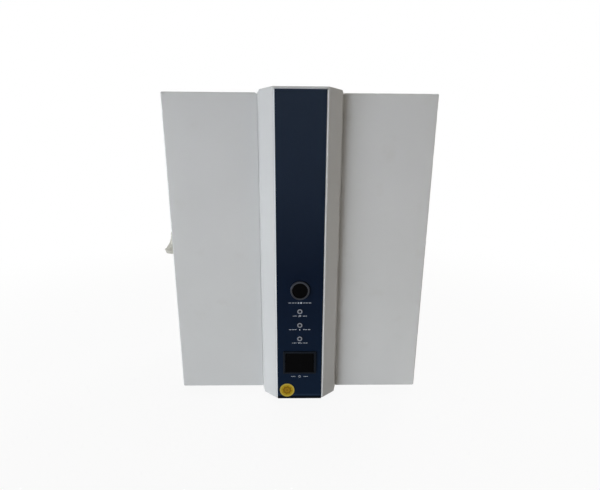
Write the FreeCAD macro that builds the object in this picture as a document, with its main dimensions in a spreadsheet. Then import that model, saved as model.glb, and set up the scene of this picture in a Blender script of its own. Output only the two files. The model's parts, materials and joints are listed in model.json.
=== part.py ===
import FreeCAD, Part
import math
import os
import Sketcher
from FreeCAD import Placement, Rotation, Vector

# Wall-or-bench water still: folded steel casing with a projecting control column in front,
# a glass boiler and condenser on its left side and the electrics on its right.
# X runs to the right, Y to the back, Z up. The origin is on the bench, under the casing's middle.

SIZES = {
    # casing
    "case_width": "440",
    "case_height": "520",
    "half_depth": "122",        # half of the whole depth, column included
    "column_reach": "34",       # column face in front of the wings
    "shoulder_reach": "17",     # column's bends in front of the wings
    "face_width": "84",
    "shoulder_width": "128",
    "shoulder_step": "4.5",     # column's edge at the wings outside its shoulder
    "steel": "1.5",             # sheet thickness
    "bend": "2.5",              # outer radius of the folds
    "seam": "0.4",              # gap between neighbouring covers
    "lip": "14",                # width of the folded lips and flanges
    "lip_relief": "4",
    "tray_edge": "6",
    "corner_cut": "3",
    "foot_height": "12",
    "foot_radius": "12",
    "foot_inset": "30",
    "foot_taper": "2",
    "foot_well_play": "1",
    "screw_radius": "2",
    "screw_head": "3.8",
    "screw_rise": "2.2",
    "screw_tail": "4",          # shank beyond the sheets it holds
    "screw_nut": "3",
    "hole_slack": "0.3",        # play of a screw in its hole
    "wall_hole_radius": "4.25",
    "wall_hole_span": "300",
    "wall_hole_rise": "400",
    "slot_width": "3.5",
    "slot_length": "36",
    "slot_pitch": "9",
    "slot_drop": "19",          # first rear slot below the upper wall holes
    "partition_x": "62",
    # control panel
    "panel_margin": "3",        # steel left bare above and beside the panel
    "panel_skin": "1",
    "button_z": "217",
    "ring_radius": "16",
    "ring_height": "4.4",
    "ring_chamfer": "1",
    "cap_radius": "13",
    "cap_play": "0.3",
    "cap_skin": "1.6",
    "cap_chamfer": "0.8",
    "button_travel": "1.5",
    "stem_radius": "6",
    "barrel_radius": "11",
    "barrel_length": "14",
    "button_nut": "15",
    "block_half": "14",         # half width of the contact block
    "tab_width": "6",
    "tab_length": "8",
    "tab_thick": "1",
    "tab_spread": "8",
    "run_play": "0.06",         # shaft in its hole
    "lamp_z": "129.5",          # lowest lamp
    "lamp_pitch": "25",
    "lamp_ring": "4.9",
    "lamp_rise": "1.6",
    "lamp_taper": "0.6",
    "lamp_barrel": "3.8",
    "lamp_depth": "8",
    "lens_radius": "2.4",
    "lens_play": "0.1",
    "rocker_z": "84",
    "rim_width": "57.6",
    "rim_height": "42.8",
    "rim_rise": "2.4",
    "rim_corner": "2",
    "rim_edge": "1",
    "well_width": "50.4",
    "well_height": "36.6",
    "well_depth": "16",
    "well_wall": "1.6",
    "paddle_play": "0.5",
    "paddle_middle": "3.2",     # pivot to the middle of the paddle's face
    "paddle_back": "4",
    "paddle_inset": "1.4",      # paddle's middle behind the rim's front
    "rocker_tilt": "5",         # degrees either side of level
    "trunnion_radius": "2",
    "trunnion_reach": "1.3",
    "blade_pitch": "15",
    "blade_width": "6.2",
    "blade_thick": "0.8",
    "blade_length": "9",
    "board_width": "64",
    "board_height": "66",
    "board_thick": "1.6",
    "board_gap": "4",           # behind the lamps' barrels
    "board_edge": "5",          # mounting holes to the board's edges
    "board_hole": "1.6",
    "part_margin": "8",         # board's parts to its edges
    "transformer_width": "18",
    "transformer_height": "26",
    "transformer_depth": "14",
    "strip_length": "52",
    "strip_height": "8",
    "strip_depth": "9",
    "capacitor_radius": "4",
    "capacitor_length": "11",
    "capacitor_pitch": "10",
    "spacer_radius": "3",
    "spacer_bore": "1.3",
    "sticker_x": "-22",
    "sticker_z": "29",
    "sticker_radius": "13",
    "sticker_thick": "0.3",
    # boiler
    "boiler_clear": "44",       # under the glass, above the base tray
    "boiler_back": "30",        # glass to the casing's rear
    "boiler_left": "28.5",      # dome's tip to the side wall
    "dome_depth": "25",
    "glass": "4",
    "rim_step": "8",            # rim's edge outside the glass
    "rim_thick": "8",
    "flange_step": "21",        # flanges' edges outside the glass
    "flange_thick": "6",
    "gasket_thick": "2",
    "clamp_play": "1",
    "bolt_step": "14.5",        # bolt circle outside the glass
    "bolt_radius": "3",
    "bolt_head": "6",
    "bolt_head_height": "4",
    "bolt_nut_height": "5",
    "bolt_tail": "8",
    "port_step": "2",           # partition's port inside the glass
    "neck_x": "-85",
    "neck_radius": "13",
    "neck_rise": "22",
    "tube_wall": "2.2",
    "nozzle_radius": "6",
    "nozzle_bore": "4",
    "nozzle_reach": "9",
    "feed_inset": "15",         # feed and drain nozzles to the dome
    "saddle_left": "-110",
    "saddle_right": "5",
    "saddle_thick": "10",
    "saddle_width": "104",
    "saddle_gap": "0.3",
    "saddle_arch": "12",
    "element_radius": "4.2",
    "element_inset": "31",      # bends of the elements to the dome
    "element_spread": "17",     # half distance between a hairpin's legs
    "element_pitch": "24",
    "element_tail": "28",
    "element_nut": "9",
    "element_nut_height": "6",
    "stud_radius": "2.1",
    "stud_length": "10",
    # condenser
    "condenser_x": "-30",
    "condenser_drop": "87",     # jacket's top below the roof panel
    "sleeve_wall": "3",
    "sleeve_length": "22",
    "joint_gap": "3",
    "swan_rise": "10",          # straight run under the swan neck's bend
    "jacket_radius": "32",
    "jacket_wall": "2.5",
    "jacket_length": "92",
    "core_radius": "8",
    "core_wall": "1.6",
    "bulb_radius": "15",
    "bulb_gap": "4",
    "core_drop": "12",
    "shoulder_rise": "2",
    "shoulder_flare": "5",
    "spigot_rise": "16",
    "cap_height": "12",
    "cap_wall": "4",
    "cap_grip": "6",
    "cap_floor": "3",
    "arm_reach": "18",
    "clamp_inset": "26",
    "clamp_width": "12",
    "clamp_thick": "2.5",
    "clamp_foot": "36",
    # distillate spout
    "spout_y": "-13",
    "spout_drop": "47",         # below the condenser jacket
    "spout_out": "25",          # wall to the axis of the mouth
    "spout_tail": "20",
    "spout_radius": "6",
    "spout_bore": "4",
    "elbow_radius": "12",
    "mouth_radius": "19",
    "mouth_lip": "16.5",
    "mouth_edge": "1",
    "mouth_skin": "2",
    "mouth_drop": "46",         # rim below the spout's level axis
    "bulge_rise": "7",
    "flare": "40",
    "collar_radius": "12",
    "collar_thick": "3",
    "nut_margin": "5",          # nut's corners outside its thread
    "nut_thick": "5",
    "wall_play": "0.3",
    # inlet valve
    "inlet_y": "70",
    "inlet_drop": "2",          # below halfway from the boiler's glass to the spout
    "inlet_thread": "13.2",
    "inlet_reach": "20",
    "inlet_bore": "8",
    "relief_width": "1.5",      # thread relief beside the lock nut
    "relief_depth": "0.9",
    "valve_length": "40",
    "valve_width": "32",
    "tail_length": "18",        # hose tail
    "tower_radius": "8",
    "tower_rise": "6",
    "coil_width": "30",
    "coil_height": "36",
    "coil_length": "26",
    # level chamber
    "level_front": "28",        # its middle behind the wings
    "level_base": "78",
    "level_radius": "20",
    "level_wall": "2",
    "level_height": "92",
    "level_gap": "20",          # chamber to the boiler's glass
    "feed_reach": "8",
    "standpipe_out": "14.2",
    "standpipe_radius": "3.5",
    "standpipe_wall": "1",
    "standpipe_top": "60",
    "standpipe_drop": "10",
    "float_radius": "10",
    "float_height": "20",
    "float_chamfer": "4",
    "float_rest": "12",         # float's underside above the chamber's floor
    "lid_margin": "1.5",
    "lid_thick": "4",
    "lid_plug": "3",
    "lid_inlet": "11",          # chamber's middle to the inlet in its lid
    "lid_pipe": "14",
    "lid_grip": "10",           # hose over that inlet
    "rod_radius": "2.2",
    "rod_collar": "4",
    "rod_stop": "3",
    "rod_head": "2.5",
    "bracket_margin": "3",
    "bracket_depth": "36",
    "bracket_foot": "10",
    # hoses
    "hose_wall": "1.5",
    "hose_gap": "1",            # end of a hose to the wall that its tail stands on
    "hose_clearance": "1.5",
    "hose_grip": "12",          # hose over its tail
    "hose_run": "30",           # straight run before a turn
    "hose_fall": "5",
    "hose_rise": "10",
    "hose_front": "30",         # condenser's arms to the plane of the hoses
    "hose_bend": "18",
    "hose_sweep": "40",
    "hose_lead": "20",          # straight run from the valve's tail
    "hose_pass": "17",          # cooling hose beside the return hose
    "hose_over": "43",          # return hose's turn above the inlet
    "small_hose_bend": "12",
    # drains
    "waste_y": "5",
    "waste_z": "36",
    "waste_reach": "24",
    "waste_tail": "20",
    "cock_z": "33",
    "cock_radius": "10",
    "cock_length": "24",
    "cock_thread": "7.5",
    "thread_length": "8",
    "cock_tail": "24",
    "barb_length": "16",
    "boss_radius": "6",
    "boss_rise": "2",
    "ball_radius": "6.5",
    "ball_play": "0.3",
    "spindle_radius": "3",
    "spindle_rise": "3",
    "handle_length": "46",
    "handle_width": "11",
    "handle_tip": "4.4",
    "handle_thick": "3",
    "handle_lift": "2.5",
    # electrics
    "rail_z": "330",
    "rail_left": "20",          # behind the partition
    "rail_right": "14.5",       # short of the side wall
    "rail_height": "35",
    "rail_depth": "7.5",
    "rail_brim": "5",
    "rail_steel": "1",
    "contactor_left": "4",
    "contactor_width": "45",
    "contactor_height": "78",
    "contactor_depth": "82",
    "contactor_step": "33",     # front block behind the terminals' plane
    "contactor_front": "46.8",  # height of the front block
    "contactor_shoulder": "2",
    "well_radius": "3.5",
    "well_pitch": "14",
    "well_inset": "8",
    "screw_well": "6",
    "terminal_gap": "8",
    "terminal_width": "10",
    "terminal_height": "46",
    "terminal_depth": "40",
    "terminal_bore": "3",
    "terminal_well": "8",
    "terminal_inset": "9",
    "gland_y": "70",
    "gland_z": "62",
    "gland_radius": "16",
    "gland_hex": "20",
    "gland_grip": "17",         # length of the hexagon
    "gland_dome": "18",
    "gland_lip": "12",
    "gland_reach": "42",
    "gland_tail": "10",
    "gland_bore": "9",
}

COVER_SCREWS = 4                # on each side
REAR_SLOTS = 6
ROOF_SLOTS = 10
LAMPS = 3
FLANGE_BOLTS = 6
BULBS = 4
OVERRUN = 1                     # how far a cutting tool runs past a face

doc = FreeCAD.newDocument("WaterStill")
table = doc.addObject("Spreadsheet::Sheet", "Sizes")


class Dim:
    """A dimension: its number now, and the spreadsheet expression that it follows."""

    def __init__(self, number, text):
        self.number = float(number)
        self.text = text

    def joined(self, sign, other, number):
        return Dim(number, "(%s %s %s)" % (self.text, sign, dim(other).text))

    def __add__(self, other):
        return self.joined("+", other, self.number + dim(other).number)

    def __sub__(self, other):
        return self.joined("-", other, self.number - dim(other).number)

    def __mul__(self, other):
        return self.joined("*", other, self.number * dim(other).number)

    def __truediv__(self, other):
        return self.joined("/", other, self.number / dim(other).number)

    def __radd__(self, other):
        return dim(other) + self

    def __rsub__(self, other):
        return dim(other) - self

    def __rmul__(self, other):
        return dim(other) * self

    def __neg__(self):
        return dim(0) - self


def dim(value):
    return value if isinstance(value, Dim) else Dim(value, repr(float(value)))


def root(value):
    return Dim(math.sqrt(value.number), "sqrt(%s)" % value.text)


def fill_table():
    for row, (name, number) in enumerate(SIZES.items(), 1):
        table.set("A%d" % row, name)
        table.set("B%d" % row, number)
        table.setAlias("B%d" % row, name)
    doc.recompute()


def size(name):
    return Dim(table.get(name), "Sizes." + name)


fill_table()

# Planes and places that several pieces share.
STEEL = size("steel")
SEAM = size("seam")
LIP = size("lip")
HALF = size("case_width") / 2
FACE_Y = -size("half_depth")
WING_Y = size("column_reach") - size("half_depth")
BACK_Y = size("half_depth")
FLOOR_Z = size("foot_height")
ROOF_Z = size("foot_height") + size("case_height")
DECK_Z = FLOOR_Z + STEEL * 2
CEILING_Z = ROOF_Z - STEEL * 2
WALL_X = HALF - STEEL                       # inner face of the side walls
ROOT_X = size("shoulder_width") / 2 + size("shoulder_step")
PANEL_Y = FACE_Y - size("panel_skin")       # front of the control panel
INNER_Y = FACE_Y + STEEL                    # back of the column's front wall
BOARD_Y = PANEL_Y + size("lamp_depth") + size("board_gap")
PIVOT_Y = PANEL_Y - size("rim_rise") + size("paddle_middle") + size("paddle_inset")
PARTITION_X = size("partition_x")
RAIL_LEFT = PARTITION_X + size("rail_left")
RAIL_RIGHT = WALL_X - size("rail_right")
X_AXIS = Rotation(Vector(0, 1, 0), 90)      # turns a primitive's Z axis to +X
X_BACKWARD = Rotation(Vector(0, 1, 0), -90)
Y_AXIS = Rotation(Vector(1, 0, 0), -90)     # turns a primitive's Z axis to +Y
UPRIGHT = Rotation()

# The boiler fills the depth that the level chamber leaves behind it.
LEVEL_Y = WING_Y + size("level_front")
LEVEL_BACK = LEVEL_Y + size("level_radius")
BOILER_R = (BACK_Y - LEVEL_BACK - size("level_gap") - size("boiler_back")) / 2
BOILER_Y = BACK_Y - size("boiler_back") - BOILER_R
BOILER_Z = DECK_Z + size("boiler_clear") + BOILER_R
DOME_X = size("boiler_left") + size("dome_depth") - WALL_X
FEED_X = DOME_X + size("feed_inset")
RIM_R = BOILER_R + size("rim_step")
FLANGE_R = BOILER_R + size("flange_step")
BOLT_R = BOILER_R + size("bolt_step")
FLANGE_X = PARTITION_X - size("flange_thick")
GLASS_END = FLANGE_X - size("gasket_thick")
RIM_X = GLASS_END - size("rim_thick")
CLAMP_X = RIM_X - size("flange_thick")
NECK_TOP = BOILER_Z + BOILER_R + size("neck_rise")

# The condenser hangs under the roof and the spout under the condenser; the inlet lies over the boiler.
JACKET_TOP = CEILING_Z - size("condenser_drop")
JACKET_BASE = JACKET_TOP - size("jacket_length")
CORE_TOP = JACKET_TOP + size("cap_height") + size("spigot_rise")
CORE_TIP = JACKET_BASE - size("cap_height") - size("core_drop")
BEND_R = (size("condenser_x") - size("neck_x")) / 2
BEND_Z = CORE_TOP + size("joint_gap") + size("swan_rise")
SPOUT_Z = JACKET_BASE - size("spout_drop")
MOUTH_Z = SPOUT_Z - size("mouth_drop")
INLET_Z = (BOILER_Z + BOILER_R + SPOUT_Z) / 2 - size("inlet_drop")
ARM_Y = BOILER_Y - size("jacket_radius") - size("cap_wall") - size("arm_reach")

sub_parts = []


# ---------------------------------------------------------------- helpers

def bind(thing, prop, value):
    thing.setExpression(prop, dim(value).text)


def locate(thing, x=0, y=0, z=0, turn=UPRIGHT):
    spot = [dim(x), dim(y), dim(z)]
    thing.Placement = Placement(Vector(*[s.number for s in spot]), turn)
    for axis, value in zip("xyz", spot):
        bind(thing, "Placement.Base." + axis, value)


def keep(thing, label):
    """Registers a finished sub-part under its own name."""
    thing.Label = label
    sub_parts.append(thing)
    return thing


def box(x0, x1, y0, y1, z0, z1):
    thing = doc.addObject("Part::Box", "Block")
    bind(thing, "Length", dim(x1) - x0)
    bind(thing, "Width", dim(y1) - y0)
    bind(thing, "Height", dim(z1) - z0)
    locate(thing, x0, y0, z0)
    return thing


def rod(radius, length, x=0, y=0, z=0, turn=UPRIGHT):
    thing = doc.addObject("Part::Cylinder", "Rod")
    bind(thing, "Radius", radius)
    bind(thing, "Height", length)
    locate(thing, x, y, z, turn)
    return thing


def hexagon(across, length, x=0, y=0, z=0, turn=UPRIGHT):
    thing = doc.addObject("Part::Prism", "Hexagon")
    thing.Polygon = 6
    bind(thing, "Circumradius", across)
    bind(thing, "Height", length)
    locate(thing, x, y, z, turn)
    return thing


def ball(radius, x=0, y=0, z=0):
    thing = doc.addObject("Part::Sphere", "Ball")
    bind(thing, "Radius", radius)
    locate(thing, x, y, z)
    return thing


def quarter_bend(bend, radius, x, y, z, turn, sweep=90):
    """Part of a torus about its own Z axis, from its +X side on."""
    thing = doc.addObject("Part::Torus", "Bend")
    bind(thing, "Radius1", bend)
    bind(thing, "Radius2", radius)
    thing.Angle3 = sweep
    locate(thing, x, y, z, turn)
    return thing


def joined(things, label="Joined"):
    thing = doc.addObject("Part::MultiFuse", label)
    thing.Shapes = things
    return thing


def group(things, label):
    """Several separate solids of one kind in one sub-part."""
    thing = doc.addObject("Part::Compound", label)
    thing.Links = things
    return keep(thing, label)


def cut(base, tools):
    thing = doc.addObject("Part::Cut", "Cut")
    thing.Base = base
    thing.Tool = tools[0] if len(tools) == 1 else joined(tools)
    return thing


def common(first, second):
    thing = doc.addObject("Part::Common", "Common")
    thing.Base = first
    thing.Tool = second
    return thing


def body_at(label, x=0, y=0, z=0, turn=UPRIGHT):
    body = doc.addObject("PartDesign::Body", label)
    locate(body, x, y, z, turn)
    return keep(body, label)


def sketch_on(body, plane, lift=0):
    """An empty sketch on one of the body's own planes, moved along the plane's normal."""
    sketch = body.newObject("Sketcher::SketchObject", "Sketch")
    flat = [f for f in body.Origin.OriginFeatures if f.Role == plane][0]
    sketch.AttachmentSupport = [(flat, "")]
    sketch.MapMode = "FlatFace"
    bind(sketch, "AttachmentOffset.Base.z", lift)
    return sketch


def pin_value(sketch, constraint, name, value):
    index = sketch.addConstraint(constraint)
    sketch.renameConstraint(index, name)
    bind(sketch, "Constraints." + name, value)


def pin_point(sketch, geometry, end, x, y, name):
    for axis, value in (("X", dim(x)), ("Y", dim(y))):
        joint = Sketcher.Constraint("Distance" + axis, -1, 1, geometry, end, value.number)
        pin_value(sketch, joint, name + axis.lower(), value)


def arc_between(start, end, radius, side):
    """Arc from start to end. side is +1 where its centre lies left of the chord, else -1."""
    chord = end - start
    rise = math.sqrt(max(radius * radius - chord.Length ** 2 / 4, 0))
    across = Vector(-chord.y, chord.x, 0).normalize()
    centre = (start + end) / 2 + across * rise * side
    first = math.atan2(start.y - centre.y, start.x - centre.x)
    last = math.atan2(end.y - centre.y, end.x - centre.x)
    circle = Part.Circle(centre, Vector(0, 0, 1), radius)
    if side > 0:
        return Part.ArcOfCircle(circle, first, last), 1
    return Part.ArcOfCircle(circle, last, first), 2


def pin_radius(sketch, geometry, radius, name):
    constraint = Sketcher.Constraint("Radius", geometry, dim(radius).number)
    pin_value(sketch, constraint, name, radius)


def outline(sketch, corners):
    """A closed outline. A corner is (x, y), or (x, y, radius, side) for an arc to the next."""
    spots = [Vector(dim(c[0]).number, dim(c[1]).number, 0) for c in corners]
    first_ends = []
    for i, corner in enumerate(corners):
        start = spots[i]
        end = spots[(i + 1) % len(corners)]
        if len(corner) == 2:
            index = sketch.addGeometry(Part.LineSegment(start, end), False)
            first_ends.append((index, 1, 2))
        else:
            arc, begins = arc_between(start, end, dim(corner[2]).number, corner[3])
            index = sketch.addGeometry(arc, False)
            first_ends.append((index, begins, 3 - begins))
            pin_radius(sketch, index, corner[2], "r%d" % index)
    for i, corner in enumerate(corners):
        index, begin, _ = first_ends[i]
        before, _, finish = first_ends[i - 1]
        sketch.addConstraint(Sketcher.Constraint("Coincident", before, finish, index, begin))
        pin_point(sketch, index, begin, corner[0], corner[1], "p%d" % index)


def circle(sketch, x, y, radius):
    spot = Vector(dim(x).number, dim(y).number, 0)
    ring = Part.Circle(spot, Vector(0, 0, 1), dim(radius).number)
    index = sketch.addGeometry(ring, False)
    pin_point(sketch, index, 3, x, y, "c%d" % index)
    pin_radius(sketch, index, radius, "d%d" % index)


def rectangle(sketch, x0, x1, y0, y1):
    outline(sketch, [(x0, y0), (x1, y0), (x1, y1), (x0, y1)])


def pad(body, sketch, length):
    feature = body.newObject("PartDesign::Pad", "Pad")
    feature.Profile = sketch
    bind(feature, "Length", length)
    return feature


def pierce(body, sketch):
    """Cuts the sketch through everything on both sides of its plane."""
    feature = body.newObject("PartDesign::Pocket", "Pocket")
    feature.Profile = sketch
    feature.Type = "ThroughAll"
    feature.Midplane = True
    return feature


def pocket(body, sketch, depth, reverse=False):
    feature = body.newObject("PartDesign::Pocket", "Pocket")
    feature.Profile = sketch
    feature.Reversed = reverse
    bind(feature, "Length", depth)
    return feature


def spin(body, sketch, axis="V_Axis"):
    feature = body.newObject("PartDesign::Revolution", "Revolution")
    feature.Profile = sketch
    feature.ReferenceAxis = (sketch, [axis])
    feature.Angle = 360
    return feature


def groove(body, sketch, axis="V_Axis"):
    feature = body.newObject("PartDesign::Groove", "Groove")
    feature.Profile = sketch
    feature.ReferenceAxis = (sketch, [axis])
    feature.Angle = 360
    return feature


def round_off(body, feature, picks, radius):
    """Fillets the edges whose middle passes one of the tests in picks."""
    doc.recompute()
    names = []
    for number, edge in enumerate(feature.Shape.Edges, 1):
        middle = edge.valueAt((edge.FirstParameter + edge.LastParameter) / 2)
        along = edge.tangentAt(edge.FirstParameter)
        if any(pick(middle, along) for pick in picks):
            names.append("Edge%d" % number)
    fillet = body.newObject("PartDesign::Fillet", "Fillet")
    fillet.Base = (feature, names)
    bind(fillet, "Radius", radius)
    return fillet


def near(a, b):
    return abs(a - dim(b).number) < 1e-4


def upright_at(x, y):
    return lambda middle, along: abs(along.z) > 0.99 and near(middle.x, x) and near(middle.y, y)


def level_at(z, where):
    return lambda middle, along: abs(along.z) < 0.01 and near(middle.z, z) and where(middle)


def tube_path(points, bends):
    """Straight runs joined by tangent arcs: one bend radius for each inner point."""
    edges = []
    start = points[0]
    for i in range(1, len(points) - 1):
        before = (points[i - 1] - points[i]).normalize()
        after = (points[i + 1] - points[i]).normalize()
        half_turn = before.getAngle(after) / 2
        setback = bends[i - 1] / math.tan(half_turn)
        first = points[i] + before * setback
        last = points[i] + after * setback
        bisector = (before + after).normalize()
        middle = points[i] + bisector * (bends[i - 1] / math.sin(half_turn) - bends[i - 1])
        edges.append(Part.LineSegment(start, first).toShape())
        edges.append(Part.Arc(first, middle, last).toShape())
        start = last
    edges.append(Part.LineSegment(start, points[-1]).toShape())
    return Part.Wire(edges)


def hose(label, points, bends, bore):
    """A flexible tube along a route of points in space, one bend radius for each inner point."""
    spots = [Vector(*[dim(v).number for v in point]) for point in points]
    path = tube_path(spots, [dim(b).number for b in bends])
    start = spots[0]
    heading = spots[1] - spots[0]
    pipes = []
    for r in (bore + size("hose_wall"), bore + size("lens_play")):
        rim = Part.Wire(Part.Circle(start, heading, r.number).toShape())
        pipes.append(path.makePipeShell([rim], True, False))
    thing = doc.addObject("Part::Feature", label)
    thing.Shape = pipes[0].cut(pipes[1])
    return keep(thing, label)


# ---------------------------------------------------------------- casing

def wing_cover(label, side):
    """Side wall, front wing and folded lips of one half of the casing. side is -1 or +1."""
    body = body_at(label)
    edge = (ROOT_X + SEAM) * side
    outer = HALF * side
    wall = WALL_X * side
    lip_x = (HALF - LIP) * side
    lip_end = edge + size("lip_relief") * side
    shell = sketch_on(body, "XY_Plane", FLOOR_Z)
    outline(shell, [(edge, WING_Y), (outer, WING_Y), (outer, BACK_Y), (wall, BACK_Y),
                    (wall, WING_Y + STEEL), (edge, WING_Y + STEEL)])
    feature = pad(body, shell, size("case_height"))
    for lift in (FLOOR_Z, ROOF_Z - STEEL):
        lips = sketch_on(body, "XY_Plane", lift)
        outline(lips, [(lip_end, WING_Y), (outer, WING_Y), (outer, BACK_Y), (lip_x, BACK_Y),
                       (lip_x, WING_Y + LIP), (lip_end, WING_Y + LIP)])
        feature = pad(body, lips, STEEL)
    front_or_side = lambda m: near(m.y, WING_Y) or near(m.x, outer)
    folds = [upright_at(outer, WING_Y), level_at(ROOF_Z, front_or_side), level_at(FLOOR_Z, front_or_side)]
    feature = round_off(body, feature, folds, size("bend"))
    screws = sketch_on(body, "YZ_Plane")
    for z in cover_screw_heights():
        circle(screws, BACK_Y - LIP / 2, z, size("screw_radius") + size("hole_slack"))
    pierce(body, screws)
    holes = sketch_on(body, "XY_Plane")
    for x, y in roof_screw_spots(side):
        circle(holes, x, y, size("screw_radius") + size("hole_slack"))
    pierce(body, holes)
    return body


def cover_screw_heights():
    run = size("case_height") - LIP * 4
    return [FLOOR_Z + LIP * 2 + run * i / (COVER_SCREWS - 1) for i in range(COVER_SCREWS)]


def roof_screw_spots(side):
    """Screws through the side lips, above and below."""
    x = (HALF - LIP / 2) * side
    return [(x, WING_Y + LIP * 2), (x, BACK_Y - LIP * 3)]


def cut_wing_corner(body, side):
    """The small corner cut that leaves a notch beside the column."""
    edge = (ROOT_X + SEAM) * side
    corner = size("corner_cut")
    inner = edge - side * OVERRUN
    outer = edge + corner * side
    sketch = sketch_on(body, "XZ_Plane")
    outline(sketch, [(inner, ROOF_Z - corner), (edge, ROOF_Z - corner), (outer, ROOF_Z),
                     (outer, ROOF_Z + OVERRUN), (inner, ROOF_Z + OVERRUN)])
    pierce(body, sketch)


def wing_covers():
    slack = size("wall_play")
    left = wing_cover("left_cover", -1)
    holes = sketch_on(left, "YZ_Plane")
    circle(holes, size("spout_y"), SPOUT_Z, size("spout_radius") + slack)
    circle(holes, size("inlet_y"), INLET_Z, size("inlet_thread") + slack)
    circle(holes, size("waste_y"), size("waste_z"), size("nozzle_radius") + slack)
    circle(holes, BOILER_Y, size("cock_z"), size("cock_thread") + slack)
    pierce(left, holes)
    cut_wing_corner(left, -1)
    right = wing_cover("right_cover", 1)
    gland_hole = sketch_on(right, "YZ_Plane")
    circle(gland_hole, size("gland_y"), size("gland_z"), size("gland_radius") + slack)
    pierce(right, gland_hole)


def column_cover():
    """Projecting column: face, two sloping flanks, short sides, end caps and rear flanges."""
    body = body_at("column_cover")
    face = size("face_width") / 2
    shoulder = size("shoulder_width") / 2
    side = ROOT_X
    shoulder_y = WING_Y - size("shoulder_reach")
    rear_y = WING_Y + STEEL * 2
    plan = sketch_on(body, "XY_Plane", FLOOR_Z)
    outline(plan, [(-side, rear_y), (-side, WING_Y), (-shoulder, shoulder_y), (-face, FACE_Y),
                   (face, FACE_Y), (shoulder, shoulder_y), (side, WING_Y), (side, rear_y)])
    feature = pad(body, plan, size("case_height"))
    bends = [upright_at(x * s, y) for s in (-1, 1) for x, y in ((face, FACE_Y), (shoulder, shoulder_y))]
    feature = round_off(body, feature, bends, size("bend"))
    ends = lambda m: m.y < rear_y.number - 1e-3
    feature = round_off(body, feature, [level_at(ROOF_Z, ends), level_at(FLOOR_Z, ends)], size("bend"))
    doc.recompute()
    shell = body.newObject("PartDesign::Thickness", "Thickness")
    rear = [i for i, f in enumerate(feature.Shape.Faces, 1) if near(f.CenterOfMass.y, rear_y)][0]
    shell.Base = (feature, ["Face%d" % rear])
    shell.Reversed = True
    bind(shell, "Value", STEEL)
    flanges = sketch_on(body, "XY_Plane", DECK_Z + SEAM)
    for s in (-1, 1):
        rectangle(flanges, (side - STEEL) * s, (side + LIP) * s, WING_Y + STEEL, rear_y)
    pad(body, flanges, CEILING_Z - DECK_Z - SEAM * 2)
    for lift in (FLOOR_Z, ROOF_Z - STEEL):
        tongue = sketch_on(body, "XY_Plane", lift)
        rectangle(tongue, STEEL - side, side - STEEL, WING_Y, WING_Y + LIP)
        pad(body, tongue, STEEL)
    holes = sketch_on(body, "XZ_Plane")
    panel_holes(holes)
    pierce(body, holes)


def lamp_heights():
    return [size("lamp_z") + size("lamp_pitch") * i for i in range(LAMPS)]


def panel_holes(sketch):
    """The openings that the column's face and the control panel share."""
    circle(sketch, 0, size("button_z"), size("barrel_radius") + size("hole_slack"))
    for z in lamp_heights():
        circle(sketch, 0, z, size("lamp_barrel") + size("lens_play"))
    half_w = size("well_width") / 2 + size("well_wall") + size("hole_slack")
    half_h = size("well_height") / 2 + size("well_wall") + size("hole_slack")
    rectangle(sketch, -half_w, half_w, size("rocker_z") - half_h, size("rocker_z") + half_h)


def control_panel():
    body = body_at("control_panel")
    sheet = sketch_on(body, "XZ_Plane", -FACE_Y)
    half = size("face_width") / 2 - size("panel_margin")
    rectangle(sheet, -half, half, FLOOR_Z, ROOF_Z - size("panel_margin"))
    pad(body, sheet, size("panel_skin"))
    holes = sketch_on(body, "XZ_Plane", -FACE_Y)
    panel_holes(holes)
    pierce(body, holes)


def round_sticker():
    """Plain round sticker at the foot of the control panel."""
    thin = size("sticker_thick")
    disc = rod(size("sticker_radius"), thin, size("sticker_x"), PANEL_Y - thin, size("sticker_z"), Y_AXIS)
    keep(disc, "round_sticker")


def back_plate():
    body = body_at("back_plate")
    plate = sketch_on(body, "XY_Plane", FLOOR_Z + STEEL)
    wide = WALL_X - SEAM
    rectangle(plate, -wide, wide, BACK_Y - STEEL, BACK_Y)
    pad(body, plate, size("case_height") - STEEL * 2)
    flanges = sketch_on(body, "XY_Plane", DECK_Z + SEAM)
    for s in (-1, 1):
        rectangle(flanges, (wide - STEEL) * s, wide * s, BACK_Y - LIP, BACK_Y)
    pad(body, flanges, CEILING_Z - DECK_Z - SEAM * 2)
    screws = sketch_on(body, "YZ_Plane")
    for z in cover_screw_heights():
        circle(screws, BACK_Y - LIP / 2, z, size("screw_radius") + size("hole_slack"))
    pierce(body, screws)
    low, high = wall_hole_heights()
    wall = sketch_on(body, "XZ_Plane")
    for x in (-size("wall_hole_span") / 2, size("wall_hole_span") / 2):
        circle(wall, x, low, size("wall_hole_radius"))
        circle(wall, x, high, size("wall_hole_radius"))
    pierce(body, wall)
    slots = sketch_on(body, "XZ_Plane")
    for i in range(REAR_SLOTS):
        z = high - size("slot_drop") - size("slot_pitch") * i
        capsule(slots, (PARTITION_X + HALF) / 2, z, size("slot_length"), size("slot_width"))
    pierce(body, slots)


def wall_hole_heights():
    middle = (FLOOR_Z + ROOF_Z) / 2
    return [middle - size("wall_hole_rise") / 2, middle + size("wall_hole_rise") / 2]


def capsule(sketch, x, y, length, width):
    """A level slot with round ends, centred on (x, y)."""
    r = width / 2
    run = length / 2 - r
    outline(sketch, [(x - run, y - r), (x + run, y - r, r, 1), (x + run + r, y, r, 1), (x + run, y + r),
                     (x - run, y + r, r, 1), (x - run - r, y, r, 1)])


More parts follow.
